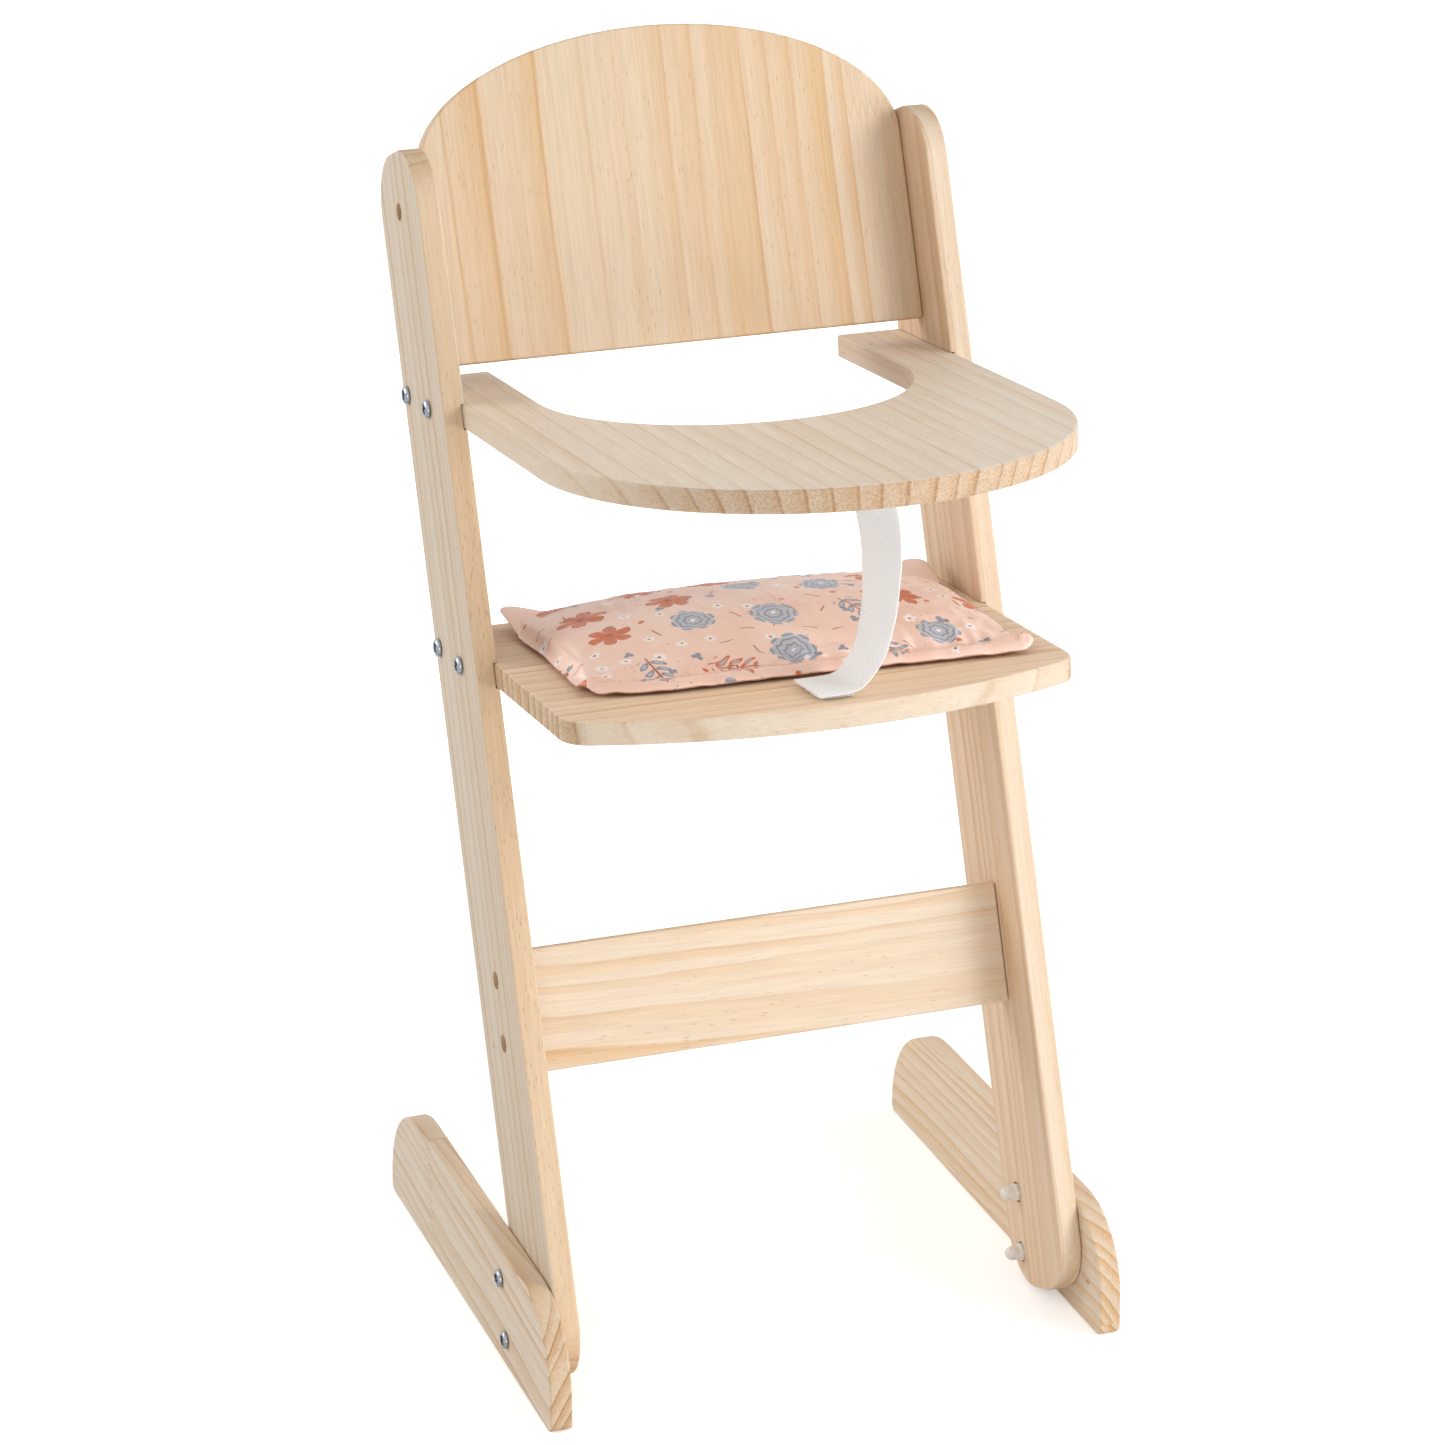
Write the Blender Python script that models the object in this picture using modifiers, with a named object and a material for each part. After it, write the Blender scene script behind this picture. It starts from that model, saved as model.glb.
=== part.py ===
"""Doll high chair: pine boards screwed together, a loose seat cushion and a webbing strap.

Metres, +Z up, front towards -Y. The origin is on the floor, under the middle of the chair.
"along" runs up the leaning uprights from the floor, "across" runs back from their front faces.
"""
import math

import bmesh
import bpy
from mathutils import Matrix, Vector

# Stance
LEAN = math.radians(20.0)
TILT = math.radians(4.6)
FLOOR_CLEAR = 0.0018

# Clearances and edges
PLAY = 0.0003
EASE = 0.0009
OVERRUN = 0.003
WELD = 0.00001

# Uprights
INNER_GAP = 0.220
UPRIGHT_W = 0.062
UPRIGHT_T = 0.010
UPRIGHT_TOP = 0.5435
UPRIGHT_R = 0.025

# Feet, screwed to the outside of the uprights
FOOT_L = 0.252
FOOT_H = 0.054
FOOT_T = 0.010
FOOT_REACH = 0.007
FOOT_FRONT_R = 0.036
FOOT_BACK_R = 0.050
FOOT_SOLE_R = 0.004

# Crossbar and backrest, between the uprights
CROSSBAR_LOW = 0.1462
CROSSBAR_H = 0.053
CROSSBAR_T = 0.010
CROSSBAR_INSET = 0.030
BACKREST_OVER_TRAY = 0.009
BACKREST_SIDE_H = 0.0835
BACKREST_RISE = 0.0545
BACKREST_T = 0.008
BACKREST_INSET = 0.031

# Tray and seat, let into shallow grooves; reaches run forward from the uprights' front line
GROOVE = 0.0015
TRAY_HEIGHT = 0.4058
TRAY_T = 0.010
TRAY_REACH = 0.225
TRAY_ARM_W = 0.0305
TRAY_CUT_REACH = 0.095
SEAT_HEIGHT = 0.3027
SEAT_T = 0.010
SEAT_REACH = 0.128
SEAT_FRONT_R = 0.250
SEAT_CORNER_R = 0.016

# Pan head screws of the tray and the seat, with places behind the front line
SCREW_D = 0.004
SCREW_HEAD_D = 0.008
SCREW_HEAD_H = 0.0024
SCREW_L = 0.030
SCREW_TIP = 0.004
BOARD_SCREW_BACKS = {"front": 0.022, "back": 0.055}

# Sunk screws of the crossbar and the backrest, with heights above each board's lower edge
SUNK_D = 0.0038
SUNK_HEAD_D = 0.007
SUNK_HEAD_H = 0.0022
SUNK_L = 0.026
SUNK_HOLE_D = 0.008
SUNK_DEPTH = 0.0045
CROSSBAR_SCREW_UPS = {"low": 0.0141, "high": 0.0414}
BACKREST_SCREW_UP = 0.0677

# Dowels that locate the lower corners of the backrest
DOWEL_D = 0.005
DOWEL_L = 0.022
DOWEL_SUNK = 0.006
DOWEL_UP = 0.018

# Bolts of the feet, with places (along, across), and their plastic cap nuts
BOLT_D = 0.004
BOLT_HEAD_D = 0.008
BOLT_HEAD_H = 0.0022
BOLT_TIP = 0.0006
BOLT_IN_NUT = 0.0045
BOLT_PLACES = {"low": (0.0321, 0.0488), "high": (0.0593, 0.0453)}
NUT_FLATS = 0.0074
NUT_HEX_H = 0.0036
NUT_DOME_D = 0.0064
NUT_H = 0.0096
NUT_HOLE_D = 0.0094
NUT_SUNK = 0.0022

# Cross recess of a screw head
CROSS_SPAN = 0.0046
CROSS_ARM = 0.0011
CROSS_DEPTH = 0.0014
CROSS_FLOOR_SHARE = 0.55

# Strap: webbing from the seat to the underside of the tray
STRAP_W = 0.030
STRAP_T = 0.0012
STRAP_FROM_SEAT_FRONT = 0.023
STRAP_END_X = -0.0094
STRAP_BULGE_X = 0.0235
STRAP_TWIST = math.radians(21.0)
STRAP_ROUTE_SHARES = (
    (0.0, 0.0), (0.29, 0.0), (0.47, 0.006), (0.59, 0.025), (0.71, 0.072), (0.82, 0.131),
    (0.89, 0.201), (0.97, 0.341), (0.99, 0.459), (1.0, 0.577), (0.96, 0.717), (0.88, 0.825),
    (0.73, 0.916), (0.47, 0.981), (0.16, 1.0), (-0.32, 1.0))
PATCH_L = 0.014
PATCH_W = 0.024
PATCH_T = 0.001
PATCH_X = -0.0005
STRAP_SCREW_D = 0.003
STRAP_SCREW_HEAD_D = 0.009
STRAP_SCREW_HEAD_H = 0.0018
STRAP_SCREW_L = 0.008
STRAP_SCREW_FROM_END = 0.009

# Cushion: its sizes, its gap to the seat's front and its turn, which brings the right side forward
CUSHION_W = 0.197
CUSHION_D = 0.140
CUSHION_CROWN = 0.0185
CUSHION_RIM_TOP = 0.0065
CUSHION_RIM_LIFT = 0.0012
CUSHION_X = 0.0032
CUSHION_FROM_SEAT_FRONT = 0.0425
CUSHION_TURN = math.radians(-3.0)
CUSHION_DRAW_SHARE = 0.03
CUSHION_CELLS = (11, 8)

# Steps of round shapes
ARC_STEP = math.radians(7.5)
WIDE_ARC_STEP = math.radians(5.0)
ROUND_STEPS = 16
HOLE_STEPS = 16
DOME_STEPS = 3
STRAP_STEPS = 3
SMOOTH_ANGLE = math.radians(35.0)
FLAT_ANGLE = math.radians(0.5)

# What follows from the sizes above
HALF_GAP = INNER_GAP / 2
UPRIGHT_OUT = HALF_GAP + UPRIGHT_T
FOOT_IN = UPRIGHT_OUT + PLAY
FOOT_OUT = FOOT_IN + FOOT_T
BOARD_HALF = HALF_GAP + GROOVE
UPRIGHT_DEPTH = UPRIGHT_W / math.cos(LEAN - TILT)
BACKREST_LOW = (TRAY_HEIGHT / math.cos(LEAN) + (BACKREST_INSET + BACKREST_T / 2) * math.tan(LEAN - TILT)
                + BACKREST_OVER_TRAY)
STRAP_PLACE = SEAT_REACH - STRAP_FROM_SEAT_FRONT
CUSHION_PLACE = SEAT_REACH - CUSHION_FROM_SEAT_FRONT - CUSHION_D / 2
UPRIGHT_START = ((FLOOR_CLEAR + UPRIGHT_R + (UPRIGHT_W - UPRIGHT_R) * math.sin(LEAN)) / math.cos(LEAN)
                 - UPRIGHT_R)
TRAY_FRONT = TRAY_HEIGHT * math.tan(LEAN) - TRAY_REACH * math.cos(TILT) - TRAY_T * math.sin(TILT)
UPRIGHT_BACK = ((UPRIGHT_TOP - UPRIGHT_R) * math.sin(LEAN) + (UPRIGHT_W - UPRIGHT_R) * math.cos(LEAN)
                + UPRIGHT_R)
FOOT_BACK = FOOT_L - FOOT_REACH
FRONT_LINE = -(min(TRAY_FRONT, -FOOT_REACH) + max(FOOT_BACK, UPRIGHT_BACK)) / 2

SIDES = {"left": -1, "right": 1}


def frame_matrix(origin, x_axis, y_axis):
    """A placement from its origin and two square axes."""
    z_axis = Vector(x_axis).cross(Vector(y_axis))
    rotation = Matrix((x_axis, y_axis, z_axis)).transposed()
    return Matrix.Translation(origin) @ rotation.to_4x4()


ACROSS = (0, math.cos(LEAN), -math.sin(LEAN))
ALONG = (0, math.sin(LEAN), math.cos(LEAN))
BACKWARD = (0, math.cos(TILT), -math.sin(TILT))
LEAN_FRAME = frame_matrix((0, FRONT_LINE, 0), ACROSS, ALONG)
PANEL_FRAME = frame_matrix((0, FRONT_LINE, 0), (1, 0, 0), ALONG)
FLOOR_FRAME = frame_matrix((0, FRONT_LINE, 0), (0, 1, 0), (0, 0, 1))


def board_frame(height):
    """The tilted top plane of the tray or the seat: local Y runs back, local Z is its normal."""
    return frame_matrix((0, FRONT_LINE + height * math.tan(LEAN), height), (1, 0, 0), BACKWARD)


TRAY_FRAME = board_frame(TRAY_HEIGHT)
SEAT_FRAME = board_frame(SEAT_HEIGHT)


def clear_scene():
    for obj in list(bpy.data.objects):
        bpy.data.objects.remove(obj)


def make_collection(name):
    collection = bpy.data.collections.new(name)
    bpy.context.scene.collection.children.link(collection)
    return collection


clear_scene()
PARTS = make_collection("doll_high_chair")
CUTTERS = make_collection("cutters")


def make_material(name, colour, roughness, metallic=0.0):
    material = bpy.data.materials.new(name)
    material.use_nodes = True
    shader = material.node_tree.nodes["Principled BSDF"]
    shader.inputs["Base Color"].default_value = (*colour, 1)
    shader.inputs["Roughness"].default_value = roughness
    shader.inputs["Metallic"].default_value = metallic
    return material


PINE = (0.74, 0.55, 0.36)
PINE_PALE = (0.80, 0.64, 0.45)
ZINC = (0.72, 0.73, 0.74)
BRONZE = (0.42, 0.30, 0.18)
NYLON = (0.74, 0.73, 0.69)
WEBBING = (0.82, 0.82, 0.85)
PEACH = (0.85, 0.56, 0.45)


def arc(centre, radius, start, end, step=ARC_STEP, rise=None):
    """Points of an arc, or of an ellipse where a rise is given, both ends included."""
    count = max(1, round(abs(end - start) / step))
    tall = radius if rise is None else rise
    angles = [start + (end - start) * i / count for i in range(count + 1)]
    return [(centre[0] + radius * math.cos(a), centre[1] + tall * math.sin(a)) for a in angles]


def rounded(corners):
    """An outline whose corners (x, y, radius) are rounded by arcs."""
    points = []
    for i, (x, y, radius) in enumerate(corners):
        here = Vector((x, y))
        before = (Vector(corners[i - 1][:2]) - here).normalized()
        after = (Vector(corners[(i + 1) % len(corners)][:2]) - here).normalized()
        half = before.angle(after) / 2
        centre = here + (before + after).normalized() * (radius / math.sin(half))
        first = here + before * (radius / math.tan(half)) - centre
        last = here + after * (radius / math.tan(half)) - centre
        start = math.atan2(first.y, first.x)
        turn = math.remainder(math.atan2(last.y, last.x) - start, math.tau)
        points += arc(centre, radius, start, start + turn)
    return points


def finish_mesh(mesh, material):
    mesh.materials.clear()
    mesh.materials.append(material)
    mesh.shade_smooth()
    mesh.set_sharp_from_angle(angle=SMOOTH_ANGLE)


def add_part(name, mesh, place):
    obj = bpy.data.objects.new(name, mesh)
    obj.matrix_world = place
    PARTS.objects.link(obj)
    return obj


def outline_mesh(name, outline, thickness):
    """A closed flat outline, thickened on both sides of its plane, as a mesh with welded caps."""
    curve = bpy.data.curves.new(name, "CURVE")
    curve.dimensions = "2D"
    curve.fill_mode = "BOTH"
    curve.extrude = thickness / 2
    spline = curve.splines.new("POLY")
    spline.points.add(len(outline) - 1)
    for point, (x, y) in zip(spline.points, outline):
        point.co = (x, y, 0, 1)
    spline.use_cyclic_u = True
    guide = bpy.data.objects.new(name, curve)
    bpy.context.scene.collection.objects.link(guide)
    depsgraph = bpy.context.evaluated_depsgraph_get()
    mesh = bpy.data.meshes.new_from_object(guide.evaluated_get(depsgraph))
    bpy.data.objects.remove(guide)
    bm = bmesh.new()
    bm.from_mesh(mesh)
    bmesh.ops.remove_doubles(bm, verts=bm.verts, dist=WELD)
    bmesh.ops.dissolve_limit(bm, angle_limit=FLAT_ANGLE, verts=bm.verts, edges=bm.edges)
    bmesh.ops.recalc_face_normals(bm, faces=bm.faces)
    bm.to_mesh(mesh)
    bm.free()
    return mesh


def make_board(name, outline, thickness, place, colour):
    """A flat board with eased edges, centred on the plane of its placement."""
    mesh = outline_mesh(name, outline, thickness)
    finish_mesh(mesh, make_material(name, colour, 0.6))
    board = add_part(name, mesh, place)
    ease = board.modifiers.new("eased_edges", "BEVEL")
    ease.width = EASE
    ease.segments = 2
    ease.limit_method = "ANGLE"
    ease.angle_limit = SMOOTH_ANGLE
    return board


def make_block_mesh(name, size):
    mesh = bpy.data.meshes.new(name)
    bm = bmesh.new()
    bmesh.ops.create_cube(bm, size=1)
    bmesh.ops.scale(bm, vec=size, verts=bm.verts)
    bm.to_mesh(mesh)
    bm.free()
    return mesh


def turned_mesh(name, profile, steps):
    """A solid of revolution about Z from (radius, height) points that run from top to bottom."""
    mesh = bpy.data.meshes.new(name)
    bm = bmesh.new()
    verts = [bm.verts.new((radius, 0, height)) for radius, height in profile]
    for first, second in zip(verts, verts[1:]):
        bm.edges.new((first, second))
    bm.to_mesh(mesh)
    bm.free()
    lathe = bpy.data.objects.new(name, mesh)
    bpy.context.scene.collection.objects.link(lathe)
    screw = lathe.modifiers.new("turn", "SCREW")
    screw.steps = steps
    screw.render_steps = steps
    screw.use_merge_vertices = True
    screw.merge_threshold = WELD
    depsgraph = bpy.context.evaluated_depsgraph_get()
    turned = bpy.data.meshes.new_from_object(lathe.evaluated_get(depsgraph))
    bpy.data.objects.remove(lathe)
    return turned


def add_cutter(name, mesh, place):
    cutter = bpy.data.objects.new(name, mesh)
    cutter.matrix_world = place
    cutter.hide_render = True
    cutter.display_type = "WIRE"
    CUTTERS.objects.link(cutter)
    return cutter


def cut(part, *cutters):
    for cutter in cutters:
        boolean = part.modifiers.new(cutter.name, "BOOLEAN")
        boolean.operation = "DIFFERENCE"
        boolean.object = cutter


def outward(side, place):
    """A fastener's placement at a point of the right side: local Z points out of the chair."""
    point = Vector((side * place[0], place[1], place[2]))
    return frame_matrix(point, (0, side, 0), (0, 0, 1))


def panel_point(x, along, across):
    return PANEL_FRAME @ Vector((x, along, -across))


def step_profile(*steps):
    """The profile of a stack of cylinders (radius, top, bottom), highest first."""
    points = [(0, steps[0][1])]
    for radius, top, bottom in steps:
        points += [(radius, top), (radius, bottom)]
    return points + [(0, steps[-1][2])]


def screw_profile(shank_d, head_d, head_h, length, tip):
    """A pan head over z = 0 and a pointed shank under it."""
    rim = head_h / 3
    dome = [(head_d / 2 * math.sin(a), rim + (head_h - rim) * math.cos(a))
            for a in [math.pi / 2 * i / DOME_STEPS for i in range(DOME_STEPS + 1)]]
    return dome + [(head_d / 2, 0), (shank_d / 2, 0), (shank_d / 2, tip - length), (0, -length)]


def cross_mesh():
    """The plug of a cross recess, narrower at its floor; its mouth lies at z = 0."""
    reach = CROSS_SPAN / 2
    arm = CROSS_ARM / 2
    quarter = [(arm, arm), (arm, reach), (-arm, reach)]
    outline = []
    for turn in range(4):
        spin = Matrix.Rotation(turn * math.pi / 2, 2)
        outline += [tuple(spin @ Vector(point)) for point in quarter]
    mesh = outline_mesh("cross_recess", outline, 2 * CROSS_DEPTH)
    for vertex in mesh.vertices:
        if vertex.co.z < 0:
            vertex.co.x *= CROSS_FLOOR_SHARE
            vertex.co.y *= CROSS_FLOOR_SHARE
    return mesh


CROSS_MESH = cross_mesh()


def screw_mesh(name, colour, roughness, shank_d, head_d, head_h, length, tip):
    """A screw with its cross recess, as one mesh that all its copies share."""
    profile = screw_profile(shank_d, head_d, head_h, length, tip)
    blank = bpy.data.objects.new(name, turned_mesh(name, profile, ROUND_STEPS))
    bpy.context.scene.collection.objects.link(blank)
    recess = add_cutter(name + "_recess", CROSS_MESH, Matrix.Translation((0, 0, head_h)))
    cut(blank, recess)
    depsgraph = bpy.context.evaluated_depsgraph_get()
    mesh = bpy.data.meshes.new_from_object(blank.evaluated_get(depsgraph))
    bpy.data.objects.remove(blank)
    bpy.data.objects.remove(recess)
    finish_mesh(mesh, make_material(name, colour, roughness, metallic=1.0))
    return mesh


def make_upright(name, side):
    outline = rounded([(0, UPRIGHT_START, UPRIGHT_R), (UPRIGHT_W, UPRIGHT_START, UPRIGHT_R),
                       (UPRIGHT_W, UPRIGHT_TOP, UPRIGHT_R), (0, UPRIGHT_TOP, UPRIGHT_R)])
    middle = side * (HALF_GAP + UPRIGHT_T / 2)
    return make_board(name, outline, UPRIGHT_T, LEAN_FRAME @ Matrix.Translation((0, 0, middle)), PINE)


def make_foot(name, side):
    back_r = min(FOOT_BACK_R, FOOT_H - FOOT_SOLE_R)
    front_r = min(FOOT_FRONT_R, FOOT_H - FOOT_SOLE_R)
    outline = rounded([(-FOOT_REACH, 0, FOOT_SOLE_R), (FOOT_BACK, 0, FOOT_SOLE_R),
                       (FOOT_BACK, FOOT_H, back_r), (-FOOT_REACH, FOOT_H, front_r)])
    middle = side * (FOOT_IN + FOOT_T / 2)
    return make_board(name, outline, FOOT_T, FLOOR_FRAME @ Matrix.Translation((0, 0, middle)), PINE)


def make_crossbar():
    half = HALF_GAP - PLAY
    top = CROSSBAR_LOW + CROSSBAR_H
    outline = [(-half, CROSSBAR_LOW), (half, CROSSBAR_LOW), (half, top), (-half, top)]
    place = PANEL_FRAME @ Matrix.Translation((0, 0, -CROSSBAR_INSET))
    return make_board("crossbar", outline, CROSSBAR_T, place, PINE)


def make_backrest():
    half = HALF_GAP - PLAY
    shoulder = BACKREST_LOW + BACKREST_SIDE_H
    outline = [(-half, BACKREST_LOW), (half, BACKREST_LOW)]
    outline += arc((0, shoulder), half, 0, math.pi, WIDE_ARC_STEP, BACKREST_RISE)
    place = PANEL_FRAME @ Matrix.Translation((0, 0, -BACKREST_INSET))
    return make_board("backrest_panel", outline, BACKREST_T, place, PINE)


def make_tray():
    """A U-shaped board: a round front and two arms that reach the uprights' back edges."""
    inner = BOARD_HALF - TRAY_ARM_W
    outline = [(BOARD_HALF, UPRIGHT_DEPTH), (inner, UPRIGHT_DEPTH)]
    outline += arc((0, inner - TRAY_CUT_REACH), inner, 0, -math.pi, WIDE_ARC_STEP)
    outline += [(-inner, UPRIGHT_DEPTH), (-BOARD_HALF, UPRIGHT_DEPTH)]
    outline += arc((0, BOARD_HALF - TRAY_REACH), BOARD_HALF, -math.pi, 0, WIDE_ARC_STEP)
    place = TRAY_FRAME @ Matrix.Translation((0, 0, -TRAY_T / 2))
    return make_board("tray", outline, TRAY_T, place, PINE_PALE)


def make_seat():
    """A board with rounded front corners and a shallow front arc."""
    arc_centre = SEAT_FRONT_R - SEAT_REACH
    corner_x = BOARD_HALF - SEAT_CORNER_R
    swing = math.asin(corner_x / (SEAT_FRONT_R - SEAT_CORNER_R))
    corner_y = arc_centre - (SEAT_FRONT_R - SEAT_CORNER_R) * math.cos(swing)
    down = -math.pi / 2
    outline = [(BOARD_HALF, UPRIGHT_DEPTH), (-BOARD_HALF, UPRIGHT_DEPTH)]
    outline += arc((-corner_x, corner_y), SEAT_CORNER_R, -math.pi, down - swing)
    outline += arc((0, arc_centre), SEAT_FRONT_R, down - swing, down + swing, WIDE_ARC_STEP)[1:-1]
    outline += arc((corner_x, corner_y), SEAT_CORNER_R, down + swing, 0)
    place = SEAT_FRAME @ Matrix.Translation((0, 0, -SEAT_T / 2))
    return make_board("seat", outline, SEAT_T, place, PINE_PALE)


def groove_cutter(name, frame, thickness, reach):
    """Clears both uprights for a tilted board and leaves its edges PLAY in the grooves."""
    size = (2 * (BOARD_HALF + PLAY), reach + UPRIGHT_DEPTH + OVERRUN, thickness + 2 * PLAY)
    middle = (UPRIGHT_DEPTH + OVERRUN - reach) / 2
    place = frame @ Matrix.Translation((0, middle, -thickness / 2))
    return add_cutter(name, make_block_mesh(name, size), place)


def fit_boards(uprights, frame, board, thickness, reach, label):
    """Grooves in the uprights for a tilted board, and the screws that hold it."""
    grooves = groove_cutter(label + "_grooves", frame, thickness, reach)
    mesh = screw_mesh(label + "_screw", ZINC, 0.2, SCREW_D, SCREW_HEAD_D, SCREW_HEAD_H, SCREW_L, SCREW_TIP)
    hole_r = SCREW_D / 2 + PLAY
    hole = turned_mesh("hole", step_profile((hole_r, OVERRUN, -SCREW_L - PLAY)), HOLE_STEPS)
    for side_name, side in SIDES.items():
        cut(uprights[side_name], grooves)
        for end, back in BOARD_SCREW_BACKS.items():
            name = f"{label}_screw_{side_name}_{end}"
            place = outward(side, frame @ Vector((UPRIGHT_OUT + PLAY, back, -thickness / 2)))
            add_part(name, mesh, place)
            cutter = add_cutter(name + "_hole", hole, place)
            cut(uprights[side_name], cutter)
            cut(board, cutter)


def add_sunk_screw(name, mesh, hole, side, point, upright, board):
    place = outward(side, point)
    add_part(name, mesh, place @ Matrix.Translation((0, 0, PLAY - SUNK_DEPTH)))
    cutter = add_cutter(name + "_hole", hole, place)
    cut(upright, cutter)
    cut(board, cutter)


def fit_sunk_screws(uprights, crossbar, backrest):
    """Screws at the bottom of counterbores, through the uprights into the board ends."""
    mesh = screw_mesh("sunk_screw", BRONZE, 0.35, SUNK_D, SUNK_HEAD_D, SUNK_HEAD_H, SUNK_L, SCREW_TIP)
    profile = step_profile((SUNK_HOLE_D / 2, OVERRUN, -SUNK_DEPTH),
                           (SUNK_D / 2 + PLAY, -SUNK_DEPTH, -SUNK_DEPTH - SUNK_L))
    hole = turned_mesh("sunk_hole", profile, HOLE_STEPS)
    for side_name, side in SIDES.items():
        upright = uprights[side_name]
        for level, up in CROSSBAR_SCREW_UPS.items():
            point = panel_point(UPRIGHT_OUT, CROSSBAR_LOW + up, CROSSBAR_INSET)
            add_sunk_screw(f"crossbar_screw_{side_name}_{level}", mesh, hole, side, point, upright, crossbar)
        point = panel_point(UPRIGHT_OUT, BACKREST_LOW + BACKREST_SCREW_UP, BACKREST_INSET)
        add_sunk_screw(f"backrest_screw_{side_name}", mesh, hole, side, point, upright, backrest)


def fit_dowels(uprights, backrest):
    mesh = turned_mesh("backrest_dowel", step_profile((DOWEL_D / 2, 0, -DOWEL_L)), ROUND_STEPS)
    finish_mesh(mesh, make_material("backrest_dowel", PINE, 0.6))
    hole = turned_mesh("dowel_hole", step_profile((DOWEL_D / 2 + PLAY, PLAY, -DOWEL_L - PLAY)), HOLE_STEPS)
    for side_name, side in SIDES.items():
        point = panel_point(HALF_GAP + DOWEL_SUNK, BACKREST_LOW + DOWEL_UP, BACKREST_INSET)
        place = outward(side, point)
        name = "backrest_dowel_" + side_name
        add_part(name, mesh, place)
        cutter = add_cutter(name + "_hole", hole, place)
        cut(uprights[side_name], cutter)
        cut(backrest, cutter)


def nut_mesh(seat_depth):
    """A plastic cap nut: a hexagon and a dome that point into the chair, bored for its bolt."""
    base = -seat_depth
    dome_r = NUT_DOME_D / 2
    shoulder = base - NUT_HEX_H
    tip = base - NUT_H
    dome = [(dome_r * math.sin(a), tip + dome_r * (1 - math.cos(a)))
            for a in [math.pi / 2 * (1 - i / DOME_STEPS / 2) for i in range(2 * DOME_STEPS + 1)]]
    profile = [(0, shoulder + PLAY), (dome_r, shoulder + PLAY)] + dome
    cap = bpy.data.objects.new("cap_nut", turned_mesh("cap_nut", profile, ROUND_STEPS))
    bpy.context.scene.collection.objects.link(cap)
    corner = NUT_FLATS / 2 / math.cos(math.pi / 6)
    hexagon = turned_mesh("nut_hexagon", step_profile((corner, base, shoulder)), 6)
    bore_profile = step_profile((BOLT_D / 2 + PLAY, base + OVERRUN, base - BOLT_IN_NUT - PLAY))
    bore = turned_mesh("nut_bore", bore_profile, ROUND_STEPS)
    joined = add_cutter("nut_hexagon", hexagon, Matrix.Identity(4))
    bored = add_cutter("nut_bore", bore, Matrix.Identity(4))
    union = cap.modifiers.new("hexagon", "BOOLEAN")
    union.operation = "UNION"
    union.object = joined
    cut(cap, bored)
    depsgraph = bpy.context.evaluated_depsgraph_get()
    mesh = bpy.data.meshes.new_from_object(cap.evaluated_get(depsgraph))
    for helper in (cap, joined, bored):
        bpy.data.objects.remove(helper)
    finish_mesh(mesh, make_material("cap_nut", NYLON, 0.45))
    return mesh


def fit_feet(uprights, feet):
    """Bolts from the feet through the uprights into cap nuts that sit in counterbores."""
    stack = FOOT_OUT - HALF_GAP
    seat_depth = stack - NUT_SUNK + PLAY
    bolt_l = seat_depth + PLAY + BOLT_IN_NUT
    bolt = screw_mesh("foot_bolt", ZINC, 0.25, BOLT_D, BOLT_HEAD_D, BOLT_HEAD_H, bolt_l, BOLT_TIP)
    nut = nut_mesh(seat_depth)
    profile = step_profile((BOLT_D / 2 + PLAY, OVERRUN, NUT_SUNK - stack),
                           (NUT_HOLE_D / 2, NUT_SUNK - stack, -stack - OVERRUN))
    hole = turned_mesh("bolt_hole", profile, HOLE_STEPS)
    for side_name, side in SIDES.items():
        for level, (along, across) in BOLT_PLACES.items():
            place = outward(side, panel_point(FOOT_OUT, along, across))
            add_part(f"foot_bolt_{side_name}_{level}", bolt, place @ Matrix.Translation((0, 0, PLAY)))
            add_part(f"cap_nut_{side_name}_{level}", nut, place)
            cutter = add_cutter(f"bolt_hole_{side_name}_{level}", hole, place)
            cut(uprights[side_name], cutter)
            cut(feet[side_name], cutter)


def smooth_path(points, steps):
    """Points on a smooth curve through the given ones (Catmull-Rom)."""
    points = [Vector(point) for point in points]
    padded = [2 * points[0] - points[1]] + points + [2 * points[-1] - points[-2]]
    path = []
    for a, b, c, d in zip(padded, padded[1:], padded[2:], padded[3:]):
        for i in range(steps):
            t = i / steps
            bend = (2 * a - 5 * b + 4 * c - d) * t + (3 * b - a - 3 * c + d) * t * t
            path.append(b + ((c - a) + bend) * (t / 2))
    return path + [points[-1]]


def strap_stations():
    """Middle points of the strap with the direction of its width, from the seat to the tray."""
    seat_middle = SEAT_FRAME @ Vector((0, -STRAP_PLACE, PATCH_T + 2 * PLAY + STRAP_T / 2))
    drop = seat_middle.y - TRAY_FRAME.translation.y
    tray_under = TRAY_FRAME @ Vector((0, drop / math.cos(TILT), -TRAY_T - PLAY - STRAP_T / 2))
    rise = tray_under.z - seat_middle.z
    span = STRAP_BULGE_X - STRAP_END_X
    route = [(STRAP_END_X + x_share * span, z_share) for x_share, z_share in STRAP_ROUTE_SHARES]
    stations = []
    y = seat_middle.y
    last_x = route[0][0]
    for x, z_share in smooth_path(route, STRAP_STEPS):
        turn = STRAP_TWIST * z_share
        y += (x - last_x) * math.tan(turn)
        last_x = x
        fall = (y - seat_middle.y) * math.tan(TILT)
        width = Matrix.Rotation(turn, 3, "Z") @ -Vector(BACKWARD)
        stations.append((Vector((x, y, seat_middle.z + rise * z_share - fall)), width))
    return stations


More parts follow.
